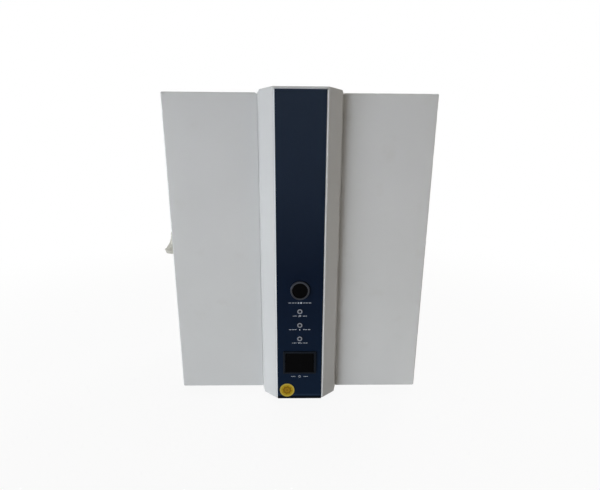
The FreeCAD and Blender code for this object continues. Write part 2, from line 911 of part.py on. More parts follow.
def deck_and_roof():
    """Base tray and roof panel: flat panels held between the covers' lips."""
    wide = WALL_X - SEAM
    front = WING_Y + STEEL * 2 + SEAM
    rear = BACK_Y - STEEL - SEAM
    tray = body_at("base_tray")
    plate = sketch_on(tray, "XY_Plane", FLOOR_Z + STEEL)
    rectangle(plate, -wide, wide, front, rear)
    pad(tray, plate, STEEL)
    walls = sketch_on(tray, "XY_Plane", FLOOR_Z + STEEL)
    for s in (-1, 1):
        rectangle(walls, (wide - STEEL) * s, wide * s, front, BACK_Y - LIP - SEAM)
    pad(tray, walls, size("tray_edge"))
    roof = body_at("roof_panel")
    plate = sketch_on(roof, "XY_Plane", CEILING_Z)
    rectangle(plate, -wide, wide, front, rear)
    pad(roof, plate, STEEL)
    for body in (tray, roof):
        holes = sketch_on(body, "XY_Plane")
        for x, y in roof_screw_spots(-1) + roof_screw_spots(1):
            circle(holes, x, y, size("screw_radius") + size("hole_slack"))
        pierce(body, holes)
    feet = sketch_on(tray, "XY_Plane")
    for x, y in foot_spots():
        circle(feet, x, y, size("screw_radius") + size("hole_slack"))
    pierce(tray, feet)
    slots = sketch_on(roof, "XY_Plane")
    for i in range(ROOF_SLOTS):
        y = BACK_Y - LIP * 2 - size("slot_pitch") * i
        capsule(slots, (PARTITION_X + HALF) / 2, y, size("slot_length"), size("slot_width"))
    pierce(roof, slots)


def foot_spots():
    x = HALF - size("foot_inset")
    front = WING_Y + size("foot_inset")
    rear = BACK_Y - size("foot_inset")
    return [(-x, front), (x, front), (-x, rear), (x, rear)]


def feet():
    solids = []
    screws = []
    seat = size("foot_height") / 2
    for x, y in foot_spots():
        cone = doc.addObject("Part::Cone", "Foot")
        bind(cone, "Radius1", size("foot_radius") - size("foot_taper"))
        bind(cone, "Radius2", size("foot_radius"))
        bind(cone, "Height", size("foot_height") + STEEL)
        locate(cone, x, y, 0)
        well = rod(size("screw_head") + size("foot_well_play"), seat, x, y, 0)
        bore = rod(size("screw_radius") + size("hole_slack"), ROOF_Z, x, y, 0)
        solids.append(cut(cone, [well, bore]))
        head = rod(size("screw_head"), size("screw_rise"), x, y, seat - size("screw_rise"))
        shank = rod(size("screw_radius"), DECK_Z + size("screw_nut") - seat, x, y, seat)
        nut = hexagon(size("screw_head"), size("screw_nut"), x, y, DECK_Z)
        screws.append(joined([head, shank, nut]))
    group(solids, "rubber_feet")
    group(screws, "foot_screws")


def screw(x, y, z, turn, tail_x, tail_z):
    """Pan-head screw: its head stands at (x, y, z) along turn, its shank starts at the tail."""
    head = rod(size("screw_head"), size("screw_rise"), x, y, z, turn)
    shank = rod(size("screw_radius"), STEEL * 2 + size("screw_tail"), tail_x, y, tail_z, turn)
    return joined([head, shank])


def cover_screws():
    depth = STEEL * 2 + size("screw_tail")
    solids = []
    for z in cover_screw_heights():
        solids.append(screw(HALF, BACK_Y - LIP / 2, z, X_AXIS, HALF - depth, z))
        solids.append(screw(-HALF, BACK_Y - LIP / 2, z, X_BACKWARD, depth - HALF, z))
    group(solids, "cover_screws")
    solids = []
    for x, y in roof_screw_spots(-1) + roof_screw_spots(1):
        solids.append(screw(x, y, ROOF_Z, UPRIGHT, x, ROOF_Z - depth))
        solids.append(screw(x, y, FLOOR_Z - size("screw_rise"), UPRIGHT, x, FLOOR_Z))
    group(solids, "roof_screws")


def partition_plate():
    """Upright plate between the wet side and the electrics, with a foot and a rear flange."""
    body = body_at("partition_plate")
    front = WING_Y + STEEL * 2 + SEAM
    rear = BACK_Y - STEEL
    plate = sketch_on(body, "YZ_Plane", PARTITION_X)
    rectangle(plate, front, rear, DECK_Z, CEILING_Z)
    pad(body, plate, STEEL)
    flange = sketch_on(body, "XY_Plane", DECK_Z)
    rectangle(flange, PARTITION_X, PARTITION_X + LIP, front, rear)
    pad(body, flange, STEEL)
    rear_flange = sketch_on(body, "XY_Plane", DECK_Z)
    rectangle(rear_flange, PARTITION_X, PARTITION_X + LIP, rear - STEEL, rear)
    pad(body, rear_flange, CEILING_Z - DECK_Z)
    holes = sketch_on(body, "YZ_Plane")
    circle(holes, BOILER_Y, BOILER_Z, BOILER_R - size("port_step"))
    for y, z in bolt_spots():
        circle(holes, y, z, size("bolt_radius") + size("hole_slack"))
    pierce(body, holes)


def bolt_spots():
    """Places (y, z) of the flange bolts round the boiler's axis."""
    spots = []
    for i in range(FLANGE_BOLTS):
        angle = math.tau * (i + 0.5) / FLANGE_BOLTS
        spots.append((BOILER_Y + BOLT_R * math.cos(angle), BOILER_Z + BOLT_R * math.sin(angle)))
    return spots


# ---------------------------------------------------------------- controls

def button():
    """Push button: bezel with threaded barrel, sliding cap on a stem, nut and contact block."""
    z = size("button_z")
    high = size("ring_height")
    ring_y = PANEL_Y - high
    barrel_end = INNER_Y + size("barrel_length")
    deep = barrel_end - PANEL_Y
    floor = high - size("cap_skin") - size("button_travel") - size("cap_play")
    bezel = body_at("button_bezel", 0, PANEL_Y, z, Y_AXIS)
    profile = sketch_on(bezel, "XZ_Plane")
    bore = size("stem_radius") + size("run_play")
    well = size("cap_radius") + size("cap_play")
    rim = size("ring_radius")
    edge = size("ring_chamfer")
    barrel = size("barrel_radius")
    outline(profile, [(bore, -floor), (well, -floor), (well, -high), (rim - edge, -high), (rim, edge - high),
                      (rim, 0), (barrel, 0), (barrel, deep), (bore, deep)])
    spin(bezel, profile)
    cap = body_at("push_button", 0, ring_y, z, Y_AXIS)
    profile = sketch_on(cap, "XZ_Plane")
    face = size("cap_radius")
    edge = size("cap_chamfer")
    stem = size("stem_radius")
    outline(profile, [(0, 0), (face - edge, 0), (face, edge), (face, size("cap_skin")),
                      (stem, size("cap_skin")), (stem, barrel_end - ring_y), (0, barrel_end - ring_y)])
    spin(cap, profile)
    nut = hexagon(size("button_nut"), size("nut_thick"), 0, INNER_Y, z, Y_AXIS)
    hole = rod(barrel + size("lens_play"), size("nut_thick"), 0, INNER_Y, z, Y_AXIS)
    keep(cut(nut, [hole]), "button_nut")
    half = size("block_half")
    rear = barrel_end + half * 2
    block = box(-half, half, barrel_end, rear, z - half, z + half)
    recess = rod(stem + size("cap_play"), size("button_travel") * 2, 0, barrel_end, z, Y_AXIS)
    tabs = [tab(x, rear, z) for x in (-size("tab_spread") - size("tab_thick"), size("tab_spread"))]
    keep(cut(joined([block] + tabs), [recess]), "button_contact_block")


def tab(x, y, z):
    """Upright spade terminal that points to the back."""
    half = size("tab_width") / 2
    return box(x, x + size("tab_thick"), y, y + size("tab_length"), z - half, z + half)


def lamps():
    bezels = []
    lenses = []
    front = PANEL_Y - size("lamp_rise")
    lens_y = PANEL_Y - size("lamp_rise") / 2
    r = size("lens_radius")
    for z in lamp_heights():
        ring = doc.addObject("Part::Cone", "Ring")
        bind(ring, "Radius1", size("lamp_ring") - size("lamp_taper"))
        bind(ring, "Radius2", size("lamp_ring"))
        bind(ring, "Height", size("lamp_rise"))
        locate(ring, 0, front, z, Y_AXIS)
        barrel = rod(size("lamp_barrel"), size("lamp_depth"), 0, PANEL_Y, z, Y_AXIS)
        hole = rod(r + size("lens_play"), size("lamp_depth") * 2, 0, front - OVERRUN, z, Y_AXIS)
        bezels.append(cut(joined([ring, barrel]), [hole]))
        lens = rod(r, BOARD_Y - lens_y, 0, lens_y, z, Y_AXIS)
        dome = common(ball(r, 0, lens_y, z), box(-r, r, front, lens_y, z - r, z + r))
        lenses.append(joined([lens, dome]))
    group(bezels, "lamp_bezels")
    group(lenses, "lamp_lenses")


def board():
    """Board behind the lamps, with transformer, terminal strip and capacitors, on hexagon spacers."""
    half = size("board_width") / 2
    middle = size("lamp_z") + size("lamp_pitch")
    low = middle - size("board_height") / 2
    high = middle + size("board_height") / 2
    rear = BOARD_Y + size("board_thick")
    margin = size("part_margin")
    inner = half - margin
    base = low + margin
    plate = box(-half, half, BOARD_Y, rear, low, high)
    transformer = box(-inner, size("transformer_width") - inner, rear, rear + size("transformer_depth"),
                      base, base + size("transformer_height"))
    reach = size("strip_length") / 2
    top = high - margin
    strip = box(-reach, reach, rear, rear + size("strip_depth"), top - size("strip_height"), top)
    parts = [plate, transformer, strip]
    for i in range(3):
        x = inner - size("capacitor_radius") - size("capacitor_pitch") * i
        z = base + size("capacitor_radius")
        parts.append(rod(size("capacitor_radius"), size("capacitor_length"), x, rear, z, Y_AXIS))
    edge = size("board_edge")
    spots = [(x, z) for x in (edge - half, half - edge) for z in (low + edge, high - edge)]
    drill = size("board_thick") + OVERRUN * 2
    holes = [rod(size("board_hole"), drill, x, BOARD_Y - OVERRUN, z, Y_AXIS) for x, z in spots]
    keep(cut(joined(parts), holes), "indicator_board")
    spacers = []
    tall = BOARD_Y - INNER_Y
    for x, z in spots:
        post = hexagon(size("spacer_radius"), tall, x, INNER_Y, z, Y_AXIS)
        spacers.append(cut(post, [rod(size("spacer_bore"), tall, x, INNER_Y, z, Y_AXIS)]))
    group(spacers, "board_spacers")


def rocker_bezel():
    """Rim with a deep well for the paddle, pivot holes in its sides and blades at its back."""
    half_w = size("well_width") / 2
    half_h = size("well_height") / 2
    wall = size("well_wall")
    deep = PANEL_Y + size("well_depth")
    rim_y = PANEL_Y - size("rim_rise")
    rim_w = size("rim_width") / 2
    rim_h = size("rim_height") / 2
    case = body_at("rocker_bezel", 0, 0, size("rocker_z"))
    rim = sketch_on(case, "XZ_Plane", -PANEL_Y)
    rectangle(rim, -rim_w, rim_w, -rim_h, rim_h)
    feature = pad(case, rim, size("rim_rise"))
    corners = lambda middle, along: abs(along.y) > 0.99 and near(abs(middle.x), rim_w)
    feature = round_off(case, feature, [corners], size("rim_corner"))
    front = lambda middle, along: near(middle.y, rim_y)
    round_off(case, feature, [front], size("rim_edge"))
    tub = sketch_on(case, "XZ_Plane", -deep)
    rectangle(tub, -half_w - wall, half_w + wall, -half_h - wall, half_h + wall)
    pad(case, tub, deep - PANEL_Y)
    well = sketch_on(case, "XZ_Plane", -rim_y)
    rectangle(well, -half_w, half_w, -half_h, half_h)
    pocket(case, well, deep - wall - rim_y)
    pivot = sketch_on(case, "YZ_Plane")
    circle(pivot, PIVOT_Y, 0, size("trunnion_radius") + size("run_play"))
    pierce(case, pivot)
    blades = sketch_on(case, "XZ_Plane", -deep - size("blade_length"))
    wide = size("blade_width") / 2
    thick = size("blade_thick") / 2
    for x in (-size("blade_pitch"), dim(0), size("blade_pitch")):
        for z in (-half_h / 2, half_h / 2):
            rectangle(blades, x - wide, x + wide, z - thick, z + thick)
    pad(case, blades, size("blade_length"))


def rocker_paddle():
    """Paddle with a shallow V face and round ends, on two trunnions."""
    half_w = size("well_width") / 2
    reach = size("well_height") / 2 - size("paddle_play")
    degrees = float(SIZES["rocker_tilt"])
    paddle = body_at("power_rocker", 0, PIVOT_Y, size("rocker_z"), Rotation(Vector(1, 0, 0), -degrees))
    bind(paddle, "Placement.Rotation.Angle", -size("rocker_tilt"))
    side = sketch_on(paddle, "YZ_Plane", size("paddle_play") - half_w)
    middle = size("paddle_middle")
    lift = middle + reach * math.tan(math.radians(degrees))
    back = size("paddle_back")
    front_z = root(reach * reach - lift * lift)
    back_z = root(reach * reach - back * back)
    outline(side, [(-middle, 0), (-lift, -front_z, reach, 1), (back, -back_z), (back, back_z, reach, 1),
                   (-lift, front_z)])
    pad(paddle, side, (half_w - size("paddle_play")) * 2)
    pins = sketch_on(paddle, "YZ_Plane", -half_w - size("trunnion_reach"))
    circle(pins, 0, 0, size("trunnion_radius"))
    pad(paddle, pins, (half_w + size("trunnion_reach")) * 2)


# ---------------------------------------------------------------- boiler

def boiler_vessel():
    """Blown glass drum: domed end, ground rim, vapour neck, feed and drain nozzles."""
    body = body_at("boiler_vessel", 0, BOILER_Y, BOILER_Z)
    r = BOILER_R
    inner = r - size("glass")
    start = DOME_X
    deep = size("dome_depth")
    deep_in = deep - size("glass")
    cap = (r * r + deep * deep) / (deep * 2)
    cap_in = (inner * inner + deep_in * deep_in) / (deep_in * 2)
    skin = sketch_on(body, "XZ_Plane")
    outline(skin, [(start - deep, 0, cap, -1), (start, r), (RIM_X, r), (RIM_X, RIM_R), (GLASS_END, RIM_R),
                   (GLASS_END, 0)])
    spin(body, skin, "H_Axis")
    nozzles = [("XY_Plane", 0, size("neck_x"), size("neck_radius"), size("tube_wall"), size("neck_rise"))]
    thin = size("nozzle_radius") - size("nozzle_bore")
    reach = size("nozzle_reach")
    nozzles.append(("XY_Plane", -r - reach, FEED_X, size("nozzle_radius"), thin, dim(0)))
    nozzles.append(("XZ_Plane", 0, FEED_X, size("nozzle_radius"), thin, reach))
    for plane, lift, x, radius, wall, rise in nozzles:
        spigot = sketch_on(body, plane, lift)
        circle(spigot, x, 0, radius)
        pad(body, spigot, r + rise)
    hollow = sketch_on(body, "XZ_Plane")
    outline(hollow, [(start - deep_in, 0, cap_in, -1), (start, inner), (GLASS_END, inner), (GLASS_END, 0)])
    groove(body, hollow, "H_Axis")
    for plane, lift, x, radius, wall, rise in nozzles:
        bore = sketch_on(body, plane, lift)
        circle(bore, x, 0, radius - wall)
        pocket(body, bore, r + rise, True)


def ring_on_axis(label, radius, bore, x, thick, bolt_holes=True):
    """A flat ring on the boiler's axis, with the bolt holes."""
    disc = rod(radius, thick, x, BOILER_Y, BOILER_Z, X_AXIS)
    tools = [rod(bore, thick, x, BOILER_Y, BOILER_Z, X_AXIS)]
    if bolt_holes:
        tools += bolt_rods(size("bolt_radius") + size("hole_slack"), x, thick)
    return keep(cut(disc, tools), label)


def bolt_rods(radius, x, length):
    return [rod(radius, length, x, y, z, X_AXIS) for y, z in bolt_spots()]


def boiler_closure():
    ring_on_axis("flange_gasket", RIM_R, BOILER_R - size("glass"), GLASS_END, size("gasket_thick"), False)
    ring_on_axis("clamp_ring", FLANGE_R, BOILER_R + size("clamp_play"), CLAMP_X, size("flange_thick"))
    fasteners = []
    end = PARTITION_X + STEEL
    tall = size("bolt_head_height")
    nut_tall = size("bolt_nut_height")
    for y, z in bolt_spots():
        head = hexagon(size("bolt_head"), tall, CLAMP_X - tall, y, z, X_AXIS)
        shank = rod(size("bolt_radius"), end + size("bolt_tail") - CLAMP_X, CLAMP_X, y, z, X_AXIS)
        fasteners.append(joined([head, shank]))
        nut = hexagon(size("bolt_head"), nut_tall, end, y, z, X_AXIS)
        thread = rod(size("bolt_radius") + size("lens_play"), nut_tall, end, y, z, X_AXIS)
        fasteners.append(cut(nut, [thread]))
    group(fasteners, "flange_bolts")


def heaters():
    """Heater flange with three hairpin elements that pass through it, and their nuts."""
    thick = size("flange_thick")
    disc = rod(FLANGE_R, thick, FLANGE_X, BOILER_Y, BOILER_Z, X_AXIS)
    holes = bolt_rods(size("bolt_radius") + size("hole_slack"), FLANGE_X, thick)
    elements = []
    nuts = []
    tip = DOME_X + size("element_inset")
    end = PARTITION_X + size("element_tail")
    r = size("element_radius")
    play = r + size("lens_play")
    spread = size("element_spread")
    for z in (BOILER_Z - size("element_pitch"), BOILER_Z, BOILER_Z + size("element_pitch")):
        bend = quarter_bend(spread, r, tip, BOILER_Y, z, Rotation(Vector(0, 0, 1), 90), 180)
        solids = [bend]
        for y in (BOILER_Y - spread, BOILER_Y + spread):
            holes.append(rod(play, thick, FLANGE_X, y, z, X_AXIS))
            solids.append(rod(r, end - tip, tip, y, z, X_AXIS))
            solids.append(rod(size("stud_radius"), size("stud_length"), end, y, z, X_AXIS))
            nut = hexagon(size("element_nut"), size("element_nut_height"), PARTITION_X, y, z, X_AXIS)
            nuts.append(cut(nut, [rod(play, size("element_nut_height"), PARTITION_X, y, z, X_AXIS)]))
        elements.append(joined(solids))
    keep(cut(disc, holes), "heater_flange")
    group(elements, "heating_elements")
    group(nuts, "element_nuts")


def saddles():
    """Two moulded cradles under the boiler."""
    solids = []
    wide = size("saddle_width") / 2
    thick = size("saddle_thick")
    for x in (size("saddle_left"), size("saddle_right")):
        block = box(x, x + thick, BOILER_Y - wide, BOILER_Y + wide, DECK_Z, BOILER_Z - BOILER_R / 2)
        seat = rod(BOILER_R + size("saddle_gap"), thick, x, BOILER_Y, BOILER_Z, X_AXIS)
        arch = rod(size("saddle_arch"), thick, x, BOILER_Y, DECK_Z, X_AXIS)
        solids.append(cut(block, [seat, arch]))
    group(solids, "boiler_saddles")


# ---------------------------------------------------------------- vapour path and condenser

def bent_tube(radius):
    """The swan neck from the boiler's neck over to the condenser, as one solid rod."""
    low = NECK_TOP + size("joint_gap")
    end = CORE_TOP + size("joint_gap")
    middle = size("neck_x") + BEND_R
    riser = rod(radius, BEND_Z - low, size("neck_x"), BOILER_Y, low)
    drop = rod(radius, BEND_Z - end, size("condenser_x"), BOILER_Y, end)
    over = quarter_bend(BEND_R, radius, middle, BOILER_Y, BEND_Z, Rotation(Vector(1, 0, 0), 90), 180)
    return joined([riser, drop, over])


def vapour_tube():
    radius = size("neck_radius")
    keep(cut(bent_tube(radius), [bent_tube(radius - size("tube_wall"))]), "vapour_tube")
    sleeves = []
    play = size("lens_play")
    length = size("sleeve_length")
    for x, z in ((size("neck_x"), NECK_TOP), (size("condenser_x"), CORE_TOP)):
        low = z + (size("joint_gap") - length) / 2
        tube = rod(radius + size("sleeve_wall"), length, x, BOILER_Y, low)
        sleeves.append(cut(tube, [rod(radius + play, length, x, BOILER_Y, low)]))
    nozzle = size("nozzle_radius")
    start = LEVEL_BACK + size("hose_gap")
    length = BOILER_Y - BOILER_R - size("hose_gap") - start
    tube = rod(nozzle + size("hose_wall"), length, FEED_X, start, BOILER_Z, Y_AXIS)
    sleeves.append(cut(tube, [rod(nozzle + play, length, FEED_X, start, BOILER_Z, Y_AXIS)]))
    group(sleeves, "silicone_sleeves")


def bulbs(radius, half, swell):
    """The side of a row of bulbs: an arc for each, with short straight necks between."""
    points = []
    pitch = size("jacket_length") / BULBS
    for i in range(BULBS):
        middle = JACKET_BASE + pitch * (i + 0.5)
        points += [(radius, middle - half, swell, 1), (radius, middle + half)]
    return points


def condenser_core():
    """Bulbed inner tube of the condenser, blown in one with its drip tip and top spigot."""
    body = body_at("condenser_core", size("condenser_x"), BOILER_Y, 0)
    wall = size("core_wall")
    outer_r = size("core_radius")
    inner_r = outer_r - wall
    rise = size("bulb_radius") - outer_r
    half = (size("jacket_length") / BULBS - size("bulb_gap")) / 2
    swell = (half * half + rise * rise) / (rise * 2)
    swell_in = swell - wall
    half_in = root(swell_in * swell_in - (swell_in - rise) * (swell_in - rise))
    tip = size("nozzle_radius")
    tip_in = size("nozzle_bore")
    spigot = size("neck_radius")
    spigot_in = spigot - size("tube_wall")
    low = JACKET_BASE - size("cap_height")
    shoulder = JACKET_TOP + size("cap_height") + size("shoulder_rise")
    flare = shoulder + size("shoulder_flare")
    skin = sketch_on(body, "XZ_Plane")
    outline(skin, [(0, CORE_TIP), (tip, CORE_TIP), (tip, low), (outer_r, low)] + bulbs(outer_r, half, swell)
            + [(outer_r, shoulder), (spigot, flare), (spigot, CORE_TOP), (0, CORE_TOP)])
    spin(body, skin)
    hollow = sketch_on(body, "XZ_Plane")
    outline(hollow, [(0, CORE_TIP), (tip_in, CORE_TIP), (tip_in, low), (inner_r, low + wall)]
            + bulbs(inner_r, half_in, swell_in)
            + [(inner_r, shoulder), (spigot_in, flare + wall), (spigot_in, CORE_TOP), (0, CORE_TOP)])
    groove(body, hollow)


def condenser_shell():
    """Glass jacket with a moulded cap at each end, held to the back plate by two clamps."""
    x = size("condenser_x")
    y = BOILER_Y
    r = size("jacket_radius")
    room_r = r - size("jacket_wall")
    tube = rod(r, size("jacket_length"), x, y, JACKET_BASE)
    keep(cut(tube, [rod(room_r, size("jacket_length"), x, y, JACKET_BASE)]), "condenser_jacket")
    caps = []
    grip = size("cap_grip")
    height = size("cap_height") + grip
    upper = JACKET_TOP - grip
    for low, seat_z in ((JACKET_BASE - size("cap_height"), JACKET_BASE), (upper, upper)):
        arm_z = low + height / 2
        solid = rod(r + size("cap_wall"), height, x, y, low)
        side_arm = rod(size("nozzle_radius"), y - ARM_Y, x, ARM_Y, arm_z, Y_AXIS)
        seat = rod(r + size("lens_play"), grip, x, y, seat_z)
        room = rod(room_r, size("cap_height"), x, y, low + size("cap_floor"))
        bore = rod(size("core_radius") + size("lens_play"), height, x, y, low)
        arm_bore = rod(size("nozzle_bore"), y - ARM_Y, x, ARM_Y, arm_z, Y_AXIS)
        caps.append(cut(joined([solid, side_arm]), [seat, room, bore, arm_bore]))
    group(caps, "condenser_caps")
    clamps = []
    thick = size("clamp_thick")
    wide = size("clamp_width")
    band_r = r + size("saddle_gap")
    wall = BACK_Y - STEEL
    foot_x = size("clamp_foot") / 2
    for middle in (JACKET_BASE + size("clamp_inset"), JACKET_TOP - size("clamp_inset")):
        z = middle - wide / 2
        band = rod(band_r + thick, wide, x, y, z)
        arm = box(x - wide / 2, x + wide / 2, y + r, wall, z, z + wide)
        foot = box(x - foot_x, x + foot_x, wall - thick, wall, z, z + wide)
        clamps.append(cut(joined([band, arm, foot]), [rod(band_r, wide, x, y, z)]))
    group(clamps, "condenser_clamps")


# ---------------------------------------------------------------- spout, valve and level chamber

def spout_solid(radius, mouth, lip, grow):
    """Level tube, elbow and flared mouth as one solid. grow moves its ends apart for a bore."""
    bend = size("elbow_radius")
    y = size("spout_y")
    axis_x = -(HALF + size("spout_out"))
    start = axis_x + bend
    top = SPOUT_Z - bend
    turn = Rotation(Vector(1, 0, 0), 90) * Rotation(Vector(0, 0, 1), 90)
    level = rod(radius, size("spout_tail") - WALL_X - start, start, y, SPOUT_Z, X_AXIS)
    elbow = quarter_bend(bend, radius, start, y, top, turn)
    bell = doc.addObject("PartDesign::Body", "Bell")
    locate(bell, axis_x, y, 0)
    flare = sketch_on(bell, "XZ_Plane")
    bulge = MOUTH_Z + size("bulge_rise")
    outline(flare, [(0, top), (0, MOUTH_Z - grow), (lip, MOUTH_Z - grow), (mouth, bulge, size("flare"), -1),
                    (radius, top - OVERRUN), (radius, top)])
    spin(bell, flare)
    return [level, elbow, bell]


def spout():
    mouth = size("mouth_radius")
    lip = size("mouth_lip")
    outer = spout_solid(size("spout_radius"), mouth, lip, 0)
    inner = spout_solid(size("spout_bore"), mouth - size("mouth_skin"), lip - size("mouth_edge"), OVERRUN)
    collar = wall_collar(size("spout_y"), SPOUT_Z)
    keep(cut(joined(outer + [collar]), inner), "distillate_spout")


def wall_collar(y, z):
    """Collar of a fitting, on the outside of the left wall."""
    return rod(size("collar_radius"), size("collar_thick"), -HALF - size("collar_thick"), y, z, X_AXIS)


def ring_nut(across, thread, x, y, z):
    """Hexagon nut on a threaded fitting that runs along X."""
    nut = hexagon(across, size("nut_thick"), x, y, z, X_AXIS)
    return cut(nut, [rod(thread + size("lens_play"), size("nut_thick"), x, y, z, X_AXIS)])


def wall_nuts():
    """Lock nuts of the fittings that go through the side walls."""
    margin = size("nut_margin")
    nuts = []
    for thread, y, z in ((size("spout_radius"), size("spout_y"), SPOUT_Z),
                         (size("nozzle_radius"), size("waste_y"), size("waste_z")),
                         (size("cock_thread"), BOILER_Y, size("cock_z"))):
        nuts.append(ring_nut(thread + margin, thread, -WALL_X, y, z))
    thread = size("inlet_thread")
    nuts.append(ring_nut(thread + margin, thread, -HALF - size("nut_thick"), size("inlet_y"), INLET_Z))
    inside = WALL_X - size("nut_thick")
    nuts.append(ring_nut(size("gland_hex"), size("gland_radius"), inside, size("gland_y"), size("gland_z")))
    group(nuts, "wall_nuts")


def inlet_valve():
    """Solenoid valve screwed through the wall: threaded inlet, body, hose tail and coil."""
    y = size("inlet_y")
    z = INLET_Z
    half = size("valve_width") / 2
    length = size("valve_length")
    middle = length / 2 - WALL_X
    radius = size("inlet_thread")
    tip = -HALF - size("inlet_reach")
    nut_end = -HALF - size("nut_thick")
    relief = size("relief_width")
    block = box(-WALL_X, length - WALL_X, y - half, y + half, z - half, z + half)
    thread = rod(radius, nut_end - relief - tip, tip, y, z, X_AXIS)
    neck = rod(radius - size("relief_depth"), relief, nut_end - relief, y, z, X_AXIS)
    shank = rod(radius, size("nut_thick") + STEEL, nut_end, y, z, X_AXIS)
    tail = rod(size("nozzle_radius"), size("tail_length"), length - WALL_X, y, z, X_AXIS)
    tower = rod(size("tower_radius"), size("coil_height") + size("tower_rise"), middle, y, z + half)
    mouth = rod(size("inlet_bore"), middle - tip, tip, y, z, X_AXIS)
    way = rod(size("nozzle_bore"), length + size("tail_length"), -WALL_X, y, z, X_AXIS)
    keep(cut(joined([block, thread, neck, shank, tail, tower]), [mouth, way]), "inlet_valve")
    reach = size("coil_length") / 2
    wide = size("coil_width") / 2
    coil = box(middle - reach, middle + reach, y - wide, y + wide, z + half, z + half + size("coil_height"))
    blade_z = z + half + size("tab_spread")
    blade_y = size("tab_width") / 2
    blade = box(middle + reach, middle + reach + size("tab_length"), y - blade_y, y + blade_y,
                blade_z, blade_z + size("tab_thick"))
    core = rod(size("tower_radius") + size("lens_play"), size("coil_height"), middle, y, z + half)
    keep(cut(joined([coil, blade]), [core]), "valve_coil")


def level_chamber():
    """Constant-level cup with a feed nozzle and an overflow standpipe."""
    x = FEED_X
    low = size("level_base")
    r = size("level_radius")
    wall = size("level_wall")
    cup = rod(r, size("level_height"), x, LEVEL_Y, low)
    room = rod(r - wall, size("level_height"), x, LEVEL_Y, low + wall)
    pipe_x = x - size("standpipe_out")
    drop = size("standpipe_drop")
    tall = size("standpipe_top") + drop
    pipe = rod(size("standpipe_radius"), tall, pipe_x, LEVEL_Y, low - drop)
    pipe_bore = rod(size("standpipe_radius") - size("standpipe_wall"), tall, pipe_x, LEVEL_Y, low - drop)
    feed = rod(size("nozzle_radius"), r + size("feed_reach"), x, LEVEL_Y, BOILER_Z, Y_AXIS)
    feed_bore = rod(size("nozzle_bore"), r + size("feed_reach"), x, LEVEL_Y, BOILER_Z, Y_AXIS)
    hollow = cut(joined([cup, feed]), [room])
    keep(cut(joined([hollow, pipe]), [pipe_bore, feed_bore]), "level_chamber")


def level_parts():
    """The chamber's lid with its inlet, the stem that hangs from it, and the float on the stem."""
    x = FEED_X
    high = size("level_base") + size("level_height")
    lid_top = high + size("lid_thick")
    plug_z = high - size("lid_plug")
    inlet_x = x + size("lid_inlet")
    play = size("lens_play")
    lid = rod(size("level_radius") + size("lid_margin"), size("lid_thick"), x, LEVEL_Y, high)
    plug_r = size("level_radius") - size("level_wall") - size("saddle_gap")
    plug = rod(plug_r, size("lid_plug"), x, LEVEL_Y, plug_z)
    inlet = rod(size("nozzle_radius"), size("lid_pipe"), inlet_x, LEVEL_Y, lid_top)
    through = lid_top + size("lid_pipe") - plug_z
    inlet_bore = rod(size("nozzle_bore"), through, inlet_x, LEVEL_Y, plug_z)
    rod_hole = rod(size("rod_radius") + play, through, x, LEVEL_Y, plug_z)
    keep(cut(joined([lid, plug, inlet]), [inlet_bore, rod_hole]), "level_lid")
    foot = size("level_base") + size("level_wall") + size("float_rest")
    stem = rod(size("rod_radius"), lid_top - foot, x, LEVEL_Y, foot)
    stop = rod(size("rod_collar"), size("rod_stop"), x, LEVEL_Y, foot - size("rod_stop"))
    head = rod(size("rod_collar"), size("rod_head"), x, LEVEL_Y, lid_top)
    keep(joined([stem, stop, head], "float_stem"), "float_stem")
    body = body_at("level_float", x, LEVEL_Y, foot + size("saddle_gap"))
    bore = size("rod_radius") + size("saddle_gap")
    r = size("float_radius")
    tall = size("float_height")
    edge = size("float_chamfer")
    profile = sketch_on(body, "XZ_Plane")
    outline(profile, [(bore, 0), (r - edge, 0), (r, edge), (r, tall - edge), (r - edge, tall), (bore, tall)])
    spin(body, profile)


def level_bracket():
    """Folded stand that carries the level chamber above the base tray."""
    body = body_at("level_bracket")
    x = FEED_X
    half = size("level_radius") + size("bracket_margin")
    low = size("level_base") - STEEL
    foot = size("bracket_foot")
    deep = size("bracket_depth")
    stand = sketch_on(body, "XZ_Plane", -LEVEL_Y - deep / 2)
    outline(stand, [(x - half - foot, DECK_Z), (x - half + STEEL, DECK_Z), (x - half + STEEL, low),
                    (x + half - STEEL, low), (x + half - STEEL, DECK_Z), (x + half + foot, DECK_Z),
                    (x + half + foot, DECK_Z + STEEL), (x + half, DECK_Z + STEEL), (x + half, low + STEEL),
                    (x - half, low + STEEL), (x - half, DECK_Z + STEEL), (x - half - foot, DECK_Z + STEEL)])
    pad(body, stand, deep)
    hole = sketch_on(body, "XY_Plane", low)
    pipe_r = size("standpipe_radius") + size("hose_wall") + size("hose_clearance")
    circle(hole, x - size("standpipe_out"), LEVEL_Y, pipe_r)
    pierce(body, hole)


